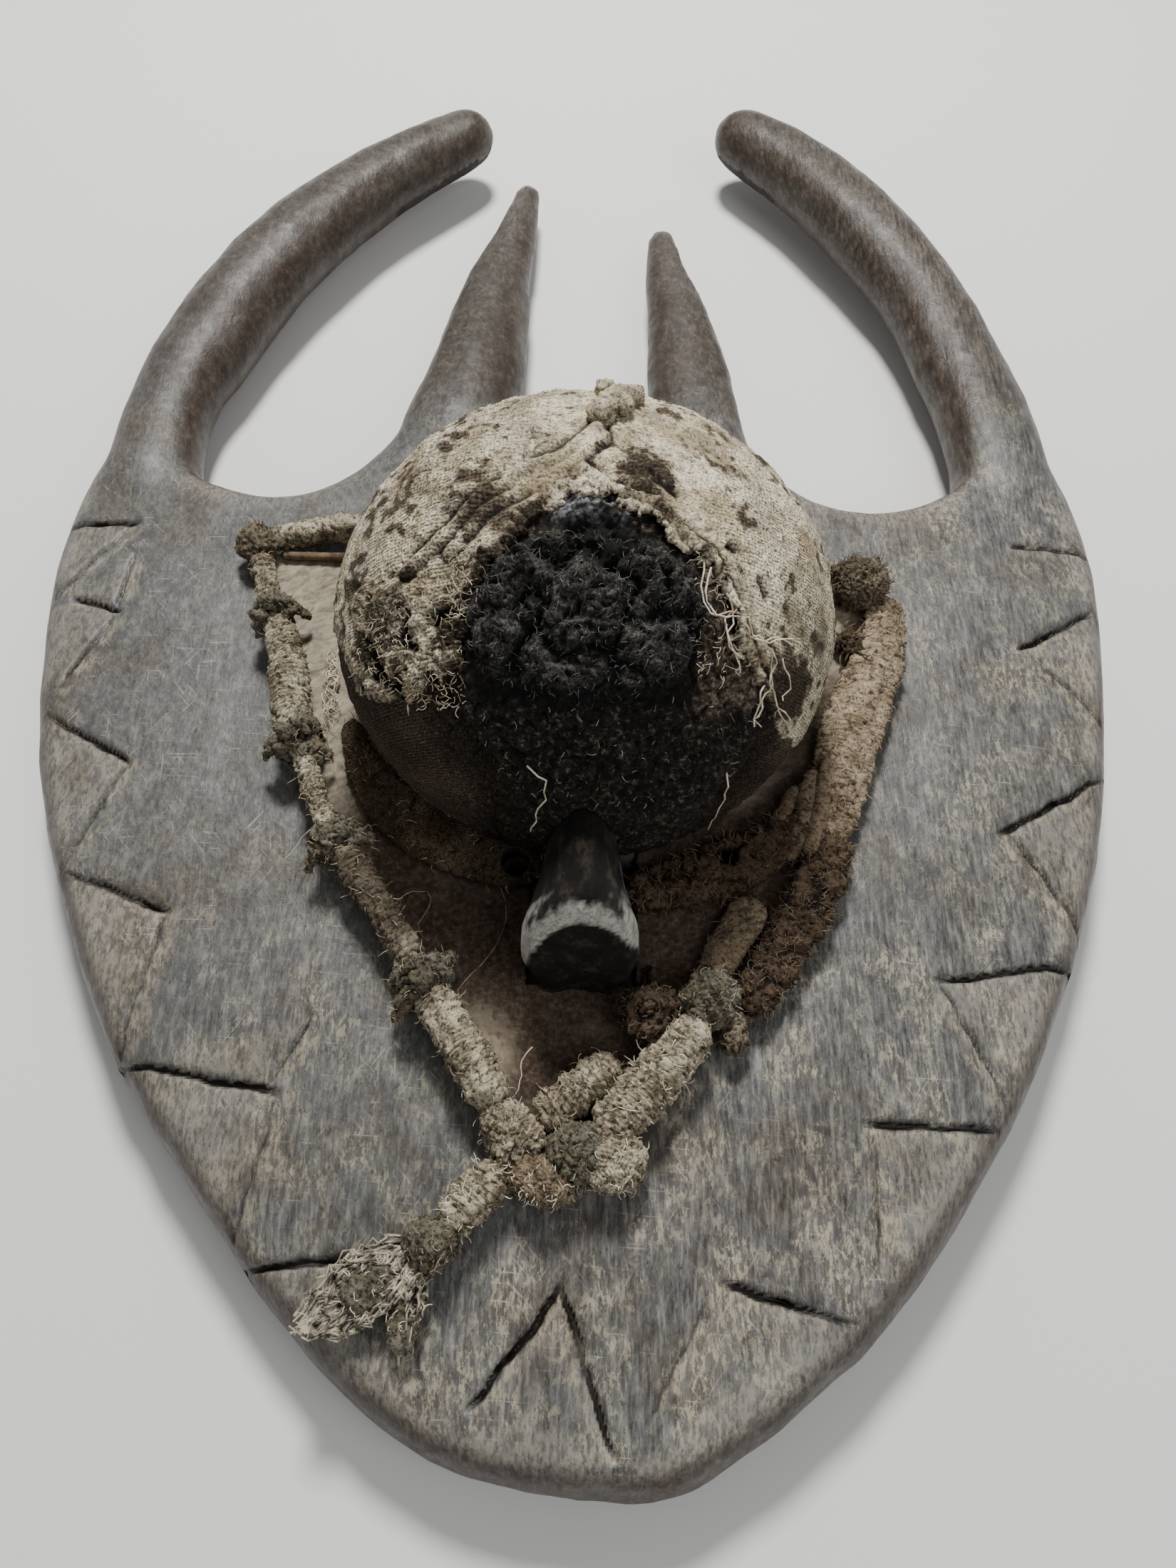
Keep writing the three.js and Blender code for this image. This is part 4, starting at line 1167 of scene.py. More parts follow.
def forehead_cloth():
    def keep(p):
        return p.z > HEM_HEIGHT - 2 and p.z > HEM_HEIGHT + 1.2 * wave(p, 7, 9) and torn(p) < 0

    bm = dome_skin(*CAP_GRID, round_the_slope, keep)
    weave_map(bm)
    push(bm, cap_relief, "soil", "woven")
    turned_edge(bm, 1.6)
    cap = finish_piece("forehead_cap", bm, DOME_CLOTH, ["forehead_cloth"])


def in_fluff(across, up):
    """1 well within the black fibrous mass, 0 outside it."""
    x, y = (across - FLUFF_CENTRE[0]) / FLUFF_SEMI[0], (up - FLUFF_CENTRE[1]) / FLUFF_SEMI[1]
    return ramp(1.12 - math.hypot(x, y), 0, 0.3)


def crust_relief(p):
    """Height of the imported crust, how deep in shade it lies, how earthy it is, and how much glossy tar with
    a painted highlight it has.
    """
    across, up, _ = slope_spot(p)
    ragged = 2.4 * wave(p, 7, 31) + 1.6 * wave(p, 2.8, 32)
    edge = ramp(torn(p), -3, 3)
    fluff = in_fluff(across + ragged, up + ragged)
    ledge = fluff * ramp(up + ragged, -9, -5)
    band = ramp(-up - ragged, 10, 16) * ramp(up - ragged, -46, -34)
    right = ramp(across + ragged, 26, 31) * ramp(up, -22, -12)
    from_pit = math.hypot((across - PIT_SPOT[0]) / PIT_SEMI[0], (up - PIT_SPOT[1]) / PIT_SEMI[1])
    from_lip = math.hypot((across - LIP_SPOT[0]) / LIP_SEMI[0], (up - LIP_SPOT[1]) / LIP_SEMI[1])
    hole = ramp(1.2 - from_pit + 0.08 * ragged, 0, 0.3)
    lip = ramp(1.3 - from_lip + 0.1 * ragged, 0, 0.6)
    gape = math.exp(-((across - 29.5 + 0.8 * ragged) / 1.3) ** 2) * ramp(up, -14, -8) * ramp(22 - up, 0, 5)
    # Painted shadow in a band under the ledge of the black mass
    under = ramp(-up - ragged, 5, 8) * ramp(up + ragged, -16, -11) * ramp(34 - abs(across), 0, 8)
    big, small, tiny = lumps_of(p, 5.2, 33), lumps_of(p, 2.2, 34), rough(p, 2.4, 35, 3)
    layers, crack = flakes(p, 9, 37)
    clump = lumps_of(p, 11, 39)
    height = -1.0 + 1.2 * ramp(-up, 4, 16)
    height += edge * (0.8 + ledge * (2.0 + 4.2 * clump) + 0.8 * right + 1.0 * band * clump)
    height += edge * (0.6 + 0.9 * ledge + 0.5 * band) * (1.1 * big + 0.9 * small - 0.9 + 0.8 * tiny)
    height += edge * right * (0.5 * layers)
    height += edge * (1.8 * lip - 2.6 * hole)
    height -= 2.2 * gape
    pit = max(between_lumps(0.42, big, small), ledge * ramp(0.42 - clump, 0, 0.3), hole, gape, 0.85 * under,
              0.6 * right * crack)
    earth = max(0.6 * band * ramp(across + 2 * ragged, -26, -10), right, 0.5 * (1 - fluff))
    return height, min(1, pit), min(1, earth), lip * ramp(wave(p, 3, 36), -0.35, 0.0)


def forehead_crust():
    def keep(p):
        if p.z < HEM_HEIGHT or math.hypot((p.x - NOSE_X) / 10.3, (p.z - NOSE_FOOT_Z) / 34.3) < 1:
            return False
        return torn(p) > -3.5

    bm = dome_skin(*CRUST_GRID, over_the_front, keep)
    push(bm, crust_relief, "earth", "tar_gloss_and_highlight")
    fluffy = frays_from(bm, 1000, 3.0, 5, lambda p: in_fluff(*slope_spot(p)[:2]) > 0.25, 0.9, 1.8)
    crumbs = frays_from(bm, 150, 2.6, 6, lambda p: -42 < slope_spot(p)[1] < -12, 0.7, 2.2)
    finish_piece("packed_crust", bm, CRUST, ["forehead_crust"])
    strands("fluff_on_the_crust", fluffy, 0.26, SOOT_FIBRE)
    strands("root_fibres_in_the_crust", crumbs, 0.30, DUSTY_FIBRE)


# Loose threads on the dome, as places across and up its slope, and the knot at its top
DOME_THREADS = [
    [(31, 22), (30, 15), (33, 9), (39, 10), (43, 5), (49, -1), (48, -8), (52, -15), (56, -23)],
    [(37, 14), (41, 6), (45, 3), (50, 3), (54, 2)],
    [(49, -8), (46, -12), (45, -19)],
    [(38, 12), (36, 4), (40, -2)],
    [(-13, -28), (-9, -34), (-11, -42), (-13, -50)],
    [(39, -33), (38, -42), (35, -52)],
    [(52, -3), (55, -9), (53, -14)],
]
DOUBLE_THREADS = 4
TORN_THREADS = 620
CAP_KNOT = [[(14, 65, 3.0), (8, 62, 4.2), (3, 57, 3.4)], [(11, 58, 2.2), (7, 63, 2.6), (3, 65, 2.0)]]


def wiggly(points, seed, wobble=1.0):
    """The same path with small kinks between its points."""
    line, _ = smooth_line([(*p, 0) for p in points], max(6, round(2.2 * len(points))))
    places = [Vector(p[:3]) for p in line]
    return [p + Vector((wave(p, 2.4, seed), wave(p, 2.4, seed + 3), 0)) * wobble for p in places]


def dome_threads():
    """The long white threads that hang on the dome."""
    paths = []
    for i, route in enumerate(DOME_THREADS):
        for twin in range(2 if i < DOUBLE_THREADS else 1):
            lift = 2.6 + 0.4 * twin
            places = [on_slope(across + 0.7 * twin, up - 0.9 * twin, lift)[0] for across, up in route]
            paths.append(wiggly(places, i + 20 * twin, 2.2))
    strands("white_threads_on_the_dome", paths, 0.55, PALE_FIBRE, 0.2)


def torn_threads():
    """Short threads round the tear: most at its ragged left, some at its right and upper left."""
    chance = random.Random(11)
    paths = []
    for _ in range(TORN_THREADS):
        t = chance.random()
        if t < 0.6:
            across, up = chance.uniform(-62, -30), chance.uniform(-16, 12)
        elif t < 0.8:
            across, up = chance.uniform(28, 44), chance.uniform(-6, 26)
        else:
            across, up = chance.uniform(-34, -24), chance.uniform(8, 26)
        root, out = on_slope(across, up, 1.6)
        side = Vector((chance.uniform(-1, 1), chance.uniform(-1, 1), chance.uniform(-1, 0.6)))
        reach = chance.uniform(1.8, 4.2)
        paths.append(fibre(root, out * 0.35 + side, reach, 1.3, chance.random() * 50, 5, 0.05))
    strands("torn_threads_of_the_cap", paths, 0.30, CAP_FIBRE)


def knot_at_the_top():
    """Two twisted ends of cloth where the cap's seams meet."""
    for i, route in enumerate(CAP_KNOT):
        stations = [(*on_slope(across, up, 2.0 + 1.6 * i)[0], r) for across, up, r in route]
        _, length = smooth_line(stations, 30)
        bm = sweep(stations, 24, 34, rounded(length, flatten=0.8))
        push(bm, lambda p: (*crumpled(p, 120 + i, 2.6, 0.8), 0.3, 0), "soil", "woven")
        finish_piece(f"knot_on_the_cap_{i + 1}", bm, DOME_CLOTH)


# Face hide

# Rows of y, and the x of the left and the right edge there
HIDE_ROWS = [
    (-219, -5, 9), (-175, -36, 43), (-135, -62, 72), (-100, -81, 92), (-60, -94, 106), (-30, -103, 110),
    (-5, -108, 104),
]
HIDE_LEFT = [(y, left) for y, left, right in HIDE_ROWS]
HIDE_RIGHT = [(y, right) for y, left, right in HIDE_ROWS]
HIDE_GRID = (200, 205)
NECK_MIDDLE = (6, -54)
NECK_SEMI = (60.6, 52.6)
EYE_RADIUS = 4.6
DUSTY_SPOT = (-22, -190)


def hide_relief(p):
    """Height of the wrinkled hide, rougher where it is brown, and how deep in shade it lies."""
    big, small = lumps_of((p.x, p.y * 1.3, 0), 5.5, 41), lumps_of((p.x * 1.2, p.y, 0), 2.4, 42)
    brown = ramp(-p.y, 96, 118)
    height = 0.3 * rough(p, 14, 31, 3) + (0.30 + 0.35 * brown) * (0.8 * big + 0.5 * small - 0.6)
    height += 0.25 * wave((p.x * 0.3, p.y * 1.4, 0), 2.2, 43)
    return height, (0.35 + 0.3 * brown) * ramp(0.3 - big * 0.6 - small * 0.3, 0, 0.25)


def face_hide():
    bm = bmesh.new()
    bmesh.ops.create_grid(bm, x_segments=HIDE_GRID[0], y_segments=HIDE_GRID[1], size=0.5)
    low, high = HIDE_ROWS[0][0], HIDE_ROWS[-1][0]
    for vert in bm.verts:
        y = low + (vert.co.y + 0.5) * (high - low)
        left, right = along_table(HIDE_LEFT, y), along_table(HIDE_RIGHT, y)
        x = left + (vert.co.x + 0.5) * (right - left)
        vert.co = Vector((x, y, face_height(x, y) + GAP + HIDE_THICKNESS))

    def gone(p):
        if ((p.x - NECK_MIDDLE[0]) / NECK_SEMI[0]) ** 2 + ((p.y - NECK_MIDDLE[1]) / NECK_SEMI[1]) ** 2 < 1:
            return True
        if abs(p.x - NOSE_X) < 16.2 and -168 < p.y < -96:
            return True
        return any(math.hypot(p.x - x, p.y - y) < EYE_RADIUS for x, y in EYE_HOLES)

    bmesh.ops.delete(bm, geom=[f for f in bm.faces if gone(f.calc_center_median())], context="FACES")
    push(bm, hide_relief)
    brown, dusty = marks_on(bm, "brown", "dusty")
    for v in bm.verts:
        v[brown] = min(1, ramp(-v.co.y, 96, 118) + 0.9 * ramp(v.co.x, 50, 74) * ramp(-v.co.y, 42, 66))
        v[dusty] = ramp(20 - math.hypot((v.co.x - DUSTY_SPOT[0]) * 1.4, v.co.y - DUSTY_SPOT[1]), 0, 14) * 0.8
    turned_edge(bm, 1.3)
    panel = finish_piece("hide_panel", bm, HIDE, ["face_hide"])


# Rolls, bands, ties, knots and tufts of the border

# Frays of all pieces of the border, gathered by kind
FRAYS = {"pale": [], "dusty": [], "dark": []}
PLAIN = ((0, 0), (1, 0))
HEM_TURN = 0.75
HEM_STITCH = 2.6

# The left roll's line of x, y and radius, and its ties: share of the way along, thickness and width
LEFT_ROLL = [
    (-109, -15, 3.8), (-101, -39, 3.6), (-94, -56, 5.6), (-87, -84, 5.6), (-82, -97, 3.2), (-71, -122, 3.3),
    (-63, -134, 4.4), (-45, -159, 4.4), (-37, -173, 4.4), (-30, -182, 5.8), (-15, -205, 5.6),
]
TIED_ROLL_REST = 9
TIES = [(0.13, 2.2, 6), (0.375, 2.4, 7), (0.56, 2.2, 8), (0.81, 2.4, 10)]


def crumpled(p, seed, size=3.4, strength=1.0):
    """Height and shade of crumpled, crusted cloth."""
    big, small = lumps_of(p, size, seed), lumps_of(p, size * 0.45, seed + 5)
    fold = lumps_of(p, size * 2.6, seed + 11)
    height = strength * (1.0 * big + 0.7 * small - 1.1 + 1.1 * fold + 0.35 * wave(p, size * 0.3, seed + 9))
    creases = ramp(0.34 - big * 0.6 - small * 0.5, 0, 0.28)
    return height, max(creases, 0.7 * strength * ramp(0.24 - fold, 0, 0.2))


def wound(p, middle, seed, pitch=4.0):
    """Height and shade of strands wound over a knot, whose way changes from one part of it to the next."""
    q = p - middle + Vector((wave(p, 7, seed), wave(p, 7, seed + 3), wave(p, 7, seed + 6))) * 2.2
    way = 1.9 * seed + (1.4 if wave(p, 9, seed + 9) > 0 else -0.3)
    groove = abs(math.sin(math.pi * (q.x * math.cos(way) + q.y * math.sin(way) + 0.4 * q.z) / pitch))
    return 1.3 * math.sqrt(groove) - 0.9, ramp(0.34 - groove, 0, 0.3)


def cloth_bar(name, line, material, nodes, flatten=1.0, pleats=0, lumpy=1.0, size=3.4, seed=1.0,
              rest=None, around=38, fray=0, fray_length=3.5, fray_kind="dusty", hem=0.0, ribs=0.0,
              tones=PLAIN, lift=0.0, eye=None):
    """Rolled or folded cloth that rests on the face: ribbed or pleated, crumpled, with frayed threads.

    tones holds how dark it is at shares of the way along, and eye the place and radius of a hole through it.
    """
    half = max(r for _, _, r in line) * flatten if rest is None else rest
    stations = [(x, y, rest_height(x, y, half) + lift, r) for x, y, r in line]
    _, length = smooth_line(stations, 40)

    def section(share, turn, radius, run):
        size_here = radius * domed(share, length, radius)
        side = (2 * math.cos(turn), 2 * math.sin(turn))
        if pleats:
            size_here *= 1 + 0.13 * math.cos(pleats * turn + 1.2 * wave((run, 0, 0), 20, seed))
        if ribs:
            beat = math.sin(2 * math.pi * (run + 0.8 * wave((run, *side), 4, seed + 2)) / ribs)
            size_here += 0.3 * beat * ramp(wave((run, *side), 6, seed + 4), -0.4, 0.1)
        size_here += 0.7 * wave((run, *side), 9, seed + 1)
        rise = math.sin(turn) * size_here * flatten
        if hem and 0 < turn < math.pi:
            stitch = 0.7 + 0.4 * math.sin(run * 2 * math.pi / HEM_STITCH)
            rise += hem * math.exp(-((turn - HEM_TURN) / 0.16) ** 2) * stitch
        return size_here * math.cos(turn), rise

    bm = sweep(stations, around, max(16, round(length / 0.5)), section)
    tone = marks_on(bm, "tone")[0]
    along = bm.verts.layers.float["along"]
    for vert in bm.verts:
        vert[tone] = along_table(tones, vert[along])

    def relief(p):
        height, pit = crumpled(p, seed, size, lumpy)
        return max(height, -1.6), pit * min(1, 0.4 + 0.6 * lumpy)

    push(bm, relief)
    if eye:
        pierced(bm, *eye)
    if fray:
        FRAYS[fray_kind] += frays_from(bm, fray, fray_length, round(seed))
    return finish_piece(name, bm, material, nodes)


# The brow bands and, between the dome and the right border, folds of brown cloth: lines of x, y and radius
BROW_LEFT = [(-70, -80, 2.2), (-62, -100, 6.0), (-44, -117, 9.5), (-22, -125.5, 10.5), (-5, -132, 8)]
BROW_RIGHT = [
    (20, -141, 4.5), (32, -138, 6.2), (42, -134.5, 7.4), (50, -131.5, 8.2), (58, -127.5, 7.2), (68, -121, 6),
    (83, -103, 4),
]
BROW_PLEATS = [
    [(84, -92, 2.0), (81, -105, 3.2), (78, -118, 3.0), (75, -127, 2.0)],
    [(79, -97, 2.0), (75.5, -109, 3.2), (72, -120, 3.0), (69, -129, 2.0)],
    [(73, -103, 2.0), (68.5, -113, 3.0), (64, -122, 2.8), (61, -129, 1.8)],
]


def brow_bands():
    left = cloth_bar("brow_flap_left", BROW_LEFT, BROW_CLOTH, ["brow_band_left"], flatten=0.30,
                     lumpy=0.45, size=5, seed=41, fray=90, hem=1.0, pleats=2, eye=(*EYE_HOLES[0], 4.4))
    woven = left.data.attributes.new("woven", "FLOAT", "POINT")
    woven.data.foreach_set("value", [0.7] * len(left.data.vertices))
    cloth_bar("brow_rags_right", BROW_RIGHT, FUR, ["brow_band_right"], flatten=0.5, lumpy=1.3,
              size=4, seed=42, fray=300, fray_length=4.5, fray_kind="dark", eye=(*EYE_HOLES[1], 3.8))
    for i, line in enumerate(BROW_PLEATS):
        cloth_bar(f"brow_pleat_right_{i + 1}", line, BAND_CLOTH, [], flatten=0.75, lumpy=0.25,
                  size=5, lift=3.5 - 0.6 * i, seed=45 + i, fray=26, fray_kind="dark", around=30,
                  tones=((0, 0.55), (1, 0.75)))


# Each piece: its line of x, y and radius, how flat, its kind of cloth, pleats, rib pitch, frays, their kind
ROLLS = {
    "right_border_roll": ([(13, -213, 6), (27, -198, 6.8), (41, -180, 6.2)], 1, "roll", 0, 2.0, 110, "pale"),
    "right_inner_roll": ([(-4, -208, 5), (6, -201, 5.4), (17, -191, 4.2)], 1.0, "roll", 0, 1.9, 70, "dusty"),
    "right_loose_end": ([(49, -175, 3.4), (51, -188.5, 3.9)], 1.0, "dark", 0, 0, 24, "dark"),
    "right_folded_strip": ([(43, -169, 4), (50, -157, 5.6), (59, -141, 5.6)], 0.5, "brown", 3, 0, 90, "dark"),
    "right_fur_mass": (
        [(55, -176, 4.2), (66, -157, 6.2), (75, -141, 6.8), (84, -120, 6)], 0.6, "fur", 0, 0, 520, "dark"),
    "right_upper_roll": (
        [(110.5, -24, 4.5), (106, -46, 7), (98.5, -66, 8.2), (91.5, -84, 8.6), (86, -104, 7.6),
         (80, -124, 5)],
        0.42, "band", 4, 2.2, 260, "dusty"),
    "top_left_roll": ([(-109, -3, 4.2), (-90, 2, 4.6), (-70, 3.5, 4.2)], 0.9, "roll", 3, 0, 30, "dusty"),
    "fur_ball_stem": ([(27, -163, 1.8), (27, -170.5, 1.8)], 1.0, "fur", 0, 0, 8, "dark"),
    "tassel_segment": (
        [(-13, -219, 4.4), (-20, -228.5, 5.6), (-27, -236, 4.8)], 1.0, "roll", 0, 2.2, 60, "pale"),
    "tassel_tuft": ([(-36, -243, 4), (-45, -249, 6.2), (-52, -254, 5)], 0.5, "green", 3, 0, 60, "pale"),
    "tassel_second_lobe": (
        [(-34, -248, 3), (-36, -257, 3.4), (-36, -264, 2.4)], 0.7, "green", 3, 0, 30, "pale"),
}
# Each kind: its material, slot, how lumpy and the size of its lumps
KINDS = {
    "roll": (ROLL_CLOTH, "rolls", 0.85, 2.8), "dark": (DARK_CLOTH, "rolls", 0.9, 3.2),
    "fur": (FUR, "fur", 1.3, 3.6), "band": (BAND_CLOTH, "rolls", 0.75, 3.0),
    "green": (GREEN_CLOTH, "rolls", 0.8, 3.0), "brown": (BAND_CLOTH, "rolls", 0.4, 3.6),
}
# How dark some pieces are at shares of the way along
TONES = {
    "left_border_roll": ((0, 0.45), (0.10, 0.25), (0.20, 0.0), (0.36, 0.05), (0.42, 0.1), (0.54, 0.1),
                         (0.60, 0.9), (0.74, 0.85), (0.82, 0.1), (1, 0.0)),
    "right_folded_strip": ((0, 0.7), (1, 0.5)),
    "right_upper_roll": ((0, 0.35), (0.3, 0.0), (0.7, 0.1), (1, 0.6)),
}


def border_rolls():
    cloth_bar("left_roll_cloth", LEFT_ROLL, ROLL_CLOTH, ["left_border_roll"], lumpy=0.7, size=2.8,
              seed=51, rest=TIED_ROLL_REST, around=46, fray=380, ribs=2.1, tones=TONES["left_border_roll"])
    for i, (name, (line, flatten, kind, pleats, ribs, fray, fray_kind)) in enumerate(ROLLS.items()):
        material, slot, lumpy, size = KINDS[kind]
        cloth_bar(name + "_cloth", line, material, [name], flatten=flatten, pleats=pleats, lumpy=lumpy,
                  size=size, seed=60 + i, fray=fray, fray_kind=fray_kind, ribs=ribs,
                  tones=TONES.get(name, PLAIN))


# Ragged ends of the ties: which tie, and the way each end leaves it
TIE_ENDS = [
    (0, 0.5, -0.5), (0, -0.3, 0.9), (0, 0.9, 0.2), (1, -0.9, -0.35), (1, 0.8, -0.4), (1, 0.7, -0.9),
    (2, -0.7, -0.7), (2, 0.6, 0.1), (3, -0.6, -0.8), (3, 0.5, 0.5),
]
TIE_END_RADII = (2.0, 2.4, 2.2, 1.7, 0.9)
TIE_TURNS = 3
STEPS_PER_TURN = 14
LINE_STEPS = 200


def ties():
    """Strips of cloth wound and knotted round the left roll, with ragged ends."""
    stations = [(x, y, rest_height(x, y, TIED_ROLL_REST), r) for x, y, r in LEFT_ROLL]
    line, _ = smooth_line(stations, LINE_STEPS)
    middles = []
    for i, (share, thickness, width) in enumerate(TIES):
        at = round(share * LINE_STEPS)
        middle = Vector(line[at][:3])
        forward = (Vector(line[at + 2][:3]) - Vector(line[at - 2][:3])).normalized()
        across = Vector((0, 0, 1)).cross(forward).normalized()
        rise = forward.cross(across)
        radius = line[at][3] + 0.6 + thickness / 2
        middles.append((middle, radius))
        steps = TIE_TURNS * STEPS_PER_TURN
        path = []
        for k in range(steps + 1):
            angle = k / STEPS_PER_TURN * 2 * math.pi
            run = (k / steps - 0.5) * (width - thickness) + 1.6 * wave((angle, i, 0), 2.5, 3)
            reach = radius + 0.8 * wave((angle, i, 5), 2, 7)
            spot = middle + (across * math.cos(angle) + rise * math.sin(angle)) * reach + forward * run
            path.append((*spot, thickness * (0.68 + 0.25 * wave((angle, i, 9), 2, 5))))
        bm = sweep(path, 12, TIE_TURNS * 60, rounded(60, 2), up=forward)
        push(bm, lambda p: crumpled(p, 70 + i, 2.6, 1.3))
        FRAYS["dusty"] += frays_from(bm, 60, 4.5, 30 + i, curl=1.4)
        finish_piece(f"left_tie_{i + 1}_cloth", bm, GREEN_CLOTH, [f"left_tie_{i + 1}"])
    tie_ends(middles)


def tie_ends(middles):
    """Flat ragged strips that leave the ties and droop; middles holds each tie's middle and radius."""
    for i, (tie, dx, dy) in enumerate(TIE_ENDS):
        spot, radius = middles[tie]
        way = Vector((dx, dy, 0)).normalized()
        path = []
        for k, size in enumerate(TIE_END_RADII):
            sway = Vector((wave((k, i, 0), 2, 3), wave((k, i, 4), 2, 3), 0)) * 1.6
            here = spot + way * (radius - 2 + 2.1 * k) + sway
            path.append((here.x, here.y, here.z + 3.2 - 0.45 * k * k, size))
        bm = sweep(path, 14, 34, rounded(10, 1.5, 0.5))
        push(bm, lambda p: crumpled(p, 170 + i, 2.2, 0.7))
        FRAYS["dusty"] += frays_from(bm, 16, 3.5, 130 + i, curl=1.4)
        finish_piece(f"tie_end_{i + 1}", bm, GREEN_CLOTH if i % 2 else DARK_CLOTH)


# Knots, balls and tufts: place, half sizes, lean on the face, kind of cloth, frays and their length
LUMPS = {
    "left_corner_knot": (-113, -5, 7.2, 7, 5.5, 0, "dark", 60, 3.5),
    "left_end_knot": (-10.5, -211.5, 9.6, 6.8, 6.6, -0.75, "roll", 70, 3),
    "chin_knot_left": (-2, -223.5, 8.6, 6.6, 6, -0.5, "brown", 110, 3),
    "chin_knot_middle": (7, -217, 8.2, 7.8, 7.2, 0.3, "green", 60, 3),
    "chin_knot_right": (17, -218.5, 7.8, 7.6, 6.4, 1.0, "roll", 80, 3.4),
    "right_knot": (43.5, -174, 9, 7.8, 7.2, 0.7, "green", 90, 3.2),
    "fur_ball": (27, -178, 7.2, 7, 6.8, 0, "fur", 220, 2.6),
    "hair_ball": (100, -21, 10, 8.6, 8.2, 0, "hair", 280, 4),
    "dark_tuft": (95, -45, 4.0, 3.8, 3.2, 0, "fur", 60, 4),
    "tassel_knot": (-30, -239.5, 6.6, 6.2, 5.8, 0, "green", 50, 3),
}
# Each kind: its material, slot, how lumpy, the size of its lumps and how strongly strands are wound over it
KNOT_KINDS = {
    "roll": (ROLL_CLOTH, "rolls", 0.9, 3.0, 0.4), "dark": (DARK_CLOTH, "rolls", 0.9, 3.2, 0.3),
    "fur": (FUR, "fur", 1.5, 3.2, 0.0), "green": (GREEN_CLOTH, "rolls", 0.8, 2.6, 0.5),
    "brown": (BAND_CLOTH, "rolls", 0.9, 3.0, 0.4), "hair": (DARK_CLOTH, "fur", 0.9, 2.6, 0.5),
}
DEEPEST_REST = 7
# Long strands that stand out of the tuft beside the right border: their ways
TUFT_WAYS = [
    (-1, 0.35), (-0.9, 0.75), (-0.8, -0.2), (-0.5, -0.9), (-0.1, -1), (0.3, -0.9), (0.8, 0.1), (0.7, 0.7),
    (0.1, 0.9), (-0.4, 0.9),
]


def lump_middle(name):
    x, y, _, _, half = LUMPS[name][:5]
    return Vector((x, y, rest_height(x, y, min(half, DEEPEST_REST))))


def lumps():
    """The knots, balls and tufts, each with its frays."""
    for i, (name, (_, _, a, b, c, lean, kind, fray, reach)) in enumerate(LUMPS.items()):
        material, slot, lumpy, size, strand = KNOT_KINDS[kind]
        bm = bmesh.new()
        bmesh.ops.create_icosphere(bm, subdivisions=6 if a > 7.5 else 5, radius=1)
        middle = lump_middle(name)
        turn = Matrix.Rotation(lean, 3, "Z")
        flat = bm.loops.layers.uv.new("weave")
        for vert in bm.verts:
            vert.co = middle + turn @ Vector((vert.co.x * a, vert.co.y * b, vert.co.z * c))
        for face in bm.faces:
            for loop in face.loops:
                q = turn.inverted() @ (loop.vert.co - middle)
                loop[flat].uv = (q.x + 0.4 * q.y, math.atan2(q.y, q.z) * a)
        tone = marks_on(bm, "tone")[0]
        for vert in bm.verts:
            vert[tone] = 0.5 if kind == "brown" else 0.3 * ramp(wave(vert.co, 6, i), 0, 0.4)

        def relief(p):
            height, pit = crumpled(p, 91 + i, size, lumpy)
            if not strand:
                return height, pit
            groove, shade = wound(p, middle, 1 + i)
            return height + strand * groove + 0.8 * wave(p, 7, i), max(pit * 0.6, strand * shade)

        push(bm, relief)
        fray_kind = "dark" if kind in ("fur", "dark", "hair") else "dusty" if i % 2 else "pale"
        FRAYS[fray_kind] += frays_from(bm, fray, reach, 80 + i, curl=1.3)
        finish_piece(name + "_cloth", bm, material, [name])


def reed():
    ends = [(-104, -7.5), (-76, -9)]
    stations = [(x, y, rest_height(x, y, 1.5), 1.5) for x, y in ends]
    bm = sweep(stations, 14, 60, rounded(28, 1))
    push(bm, lambda p: (0.2 * rough(p, 5, 99, 3), 0))
    finish_piece("reed", bm, REED_SKIN, ["top_left_reed"])


# Loose threads that lie on the face: x and y of their points and height above the face
LOOSE_THREADS = [
    ([(-76.4, -117.8), (-79.5, -123.2), (-84.1, -130.7)], 6, "pale"),
    ([(-75.4, -125.3), (-78.7, -128.5), (-80.5, -135.9), (-82.2, -143.1)], 4, "dark"),
    ([(-49.2, -144.4), (-46.3, -140.8), (-39.8, -140.1), (-39.3, -146.2), (-42.0, -151.2), (-38.4, -156.0)],
     4, "dusty"),
    ([(-17.6, -138.6), (-15.7, -148.7), (-20.0, -159.5), (-27.4, -169.2), (-28.0, -173.8), (-25, -175)],
     4, "dusty"),
    ([(-73, -96), (-76.5, -98.5), (-75, -101.5), (-72, -99.5), (-73.5, -96.5)], 7, "pale"),
    ([(-6, -187), (-8.7, -191), (-9.1, -197.7), (-11.5, -202.1)], 6, "pale"),
]
SKEIN = ((-80.5, -50), (-76, -88))
SKEIN_THREADS = 34
TASSEL_ROOT = (-34, -242)
# The tassel's two lobes: their tip, threads and spread
TASSEL_LOBES = [((-63, -260), 115, 9), ((-36, -267), 50, 4.5)]


def loose_threads():
    for i, (route, height, kind) in enumerate(LOOSE_THREADS):
        places = [(x, y, face_height(x, y) + height) for x, y in route]
        FRAYS[kind].append(wiggly(places, i + 60, 0.8))


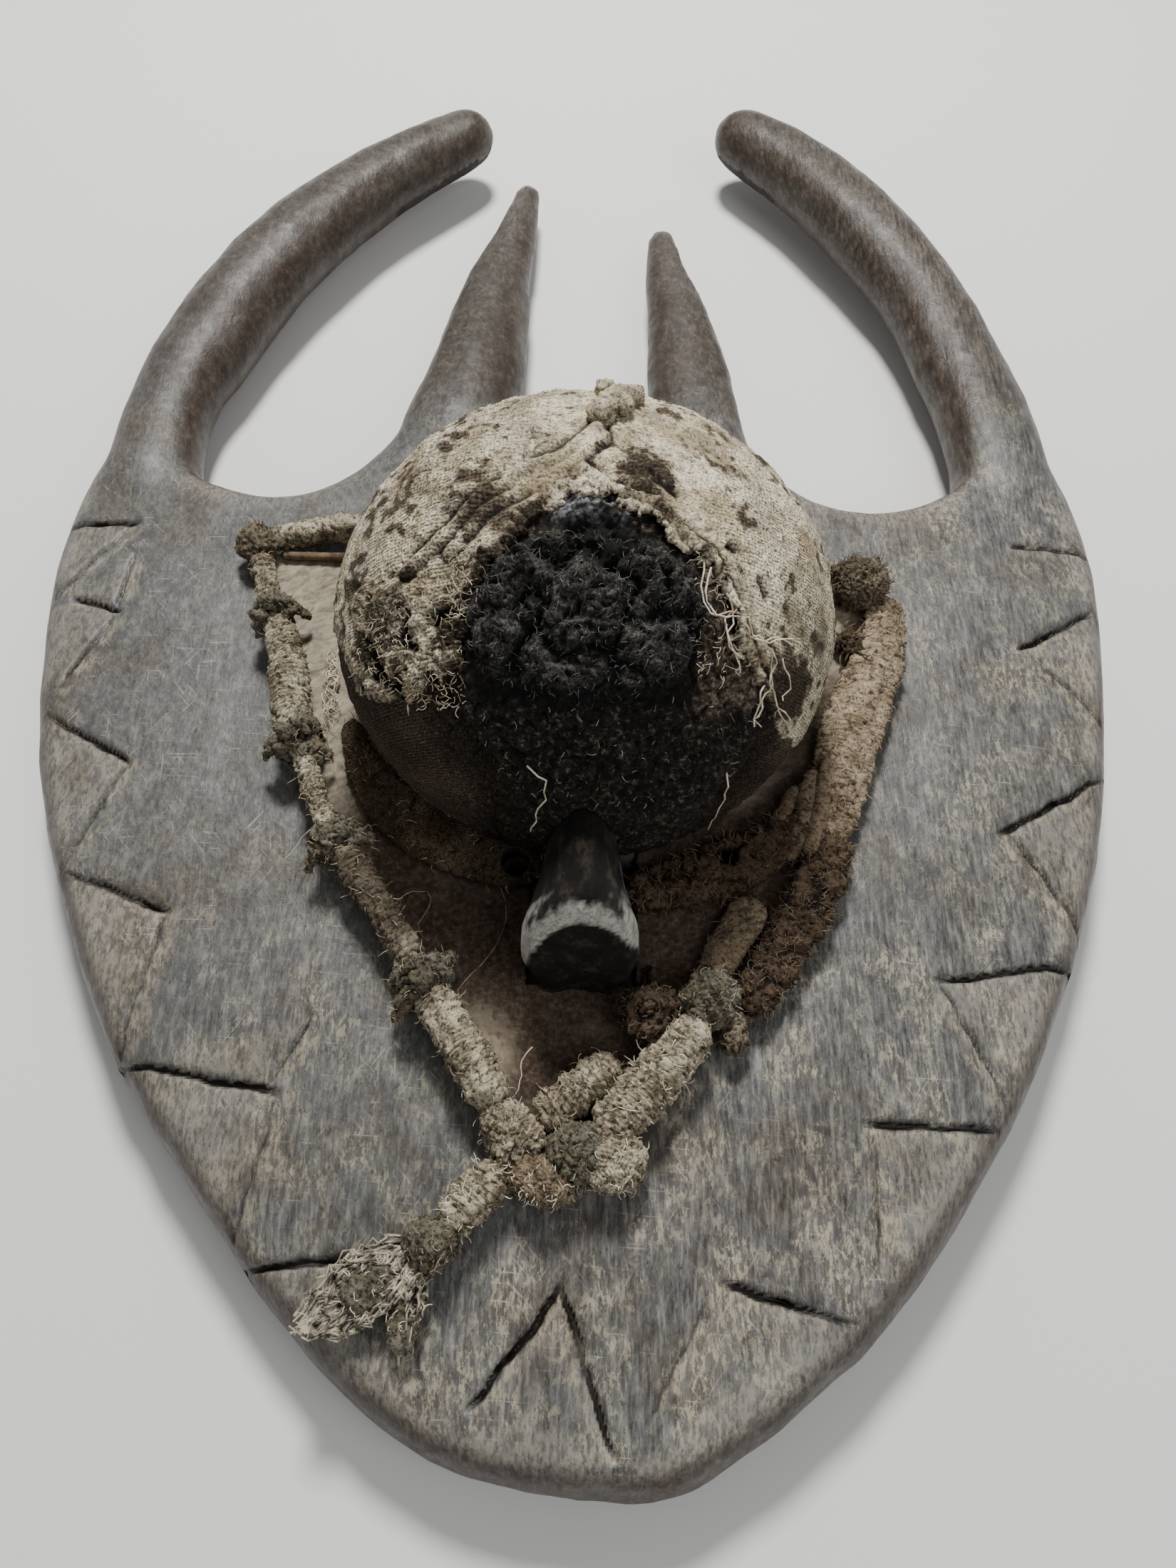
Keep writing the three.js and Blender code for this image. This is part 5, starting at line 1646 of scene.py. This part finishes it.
def skein(chance):
    """A loose skein of pale threads beside the left roll."""
    (x1, y1), (x2, y2) = SKEIN
    for i in range(SKEIN_THREADS):
        start, reach = chance.uniform(0, 0.6), chance.uniform(0.2, 0.4)
        route = []
        for k in range(5):
            share = start + reach * k / 4
            x, y = x1 + (x2 - x1) * share + chance.uniform(-2.8, 2.8), y1 + (y2 - y1) * share
            route.append((x, y, face_height(x, y) + 3.5 + chance.uniform(0, 2.5)))
        FRAYS["pale"].append(wiggly(route, i, 0.8))


def tassel_threads(chance):
    """Crinkled threads that spread from the tassel's knot over its two lobes."""
    root_x, root_y = TASSEL_ROOT
    paths = []
    for (tip_x, tip_y), count, spread in TASSEL_LOBES:
        for i in range(count):
            side = chance.uniform(-1, 1)
            reach = chance.uniform(0.55, 1.08)
            route = []
            for k in range(7):
                share = reach * k / 6
                x, y = root_x + (tip_x - root_x) * share, root_y + (tip_y - root_y) * share
                bulge = spread * math.sin(math.pi * min(1, 0.15 + 0.75 * share)) * side
                x = x - bulge * 0.5 + chance.uniform(-1.1, 1.1)
                y = y + bulge * 0.8 + chance.uniform(-1.1, 1.1)
                arch = chance.uniform(3, 6.5) * math.sin(math.pi * min(1, share + 0.2))
                route.append((x, y, face_height(x, y) + 2.5 + arch))
            paths.append(wiggly(route, i + 100, 3.2))
    strands("tassel_threads", paths, 0.85, TASSEL_FIBRE, 0.3)


def star_tuft():
    """Long strands that stand out of the dark tuft beside the right border."""
    middle = lump_middle("dark_tuft")
    paths = []
    for k, (dx, dy) in enumerate(TUFT_WAYS):
        root = middle + Vector((dx, dy, 0.6)) * 2
        paths.append(fibre(root, Vector((dx, dy, 0.15)), 9.5, 0.35, k * 3.3, 7, 0.05))
    strands("star_tuft_strands", paths, 1.3, DARK_FIBRE, 0.7)


def frays():
    strands("pale_frays", FRAYS["pale"], 0.42, PALE_FIBRE)
    strands("dusty_frays", FRAYS["dusty"], 0.40, DUSTY_FIBRE)
    strands("dark_frays", FRAYS["dark"], 0.42, DARK_FIBRE)


camera_at_the_photograph()
studio()
wooden_body()
forehead_cloth()
forehead_crust()
dome_threads()
torn_threads()
knot_at_the_top()
face_hide()
brow_bands()
border_rolls()
ties()
lumps()
reed()
loose_threads()
threads_chance = random.Random(17)
skein(threads_chance)
tassel_threads(threads_chance)
star_tuft()
frays()
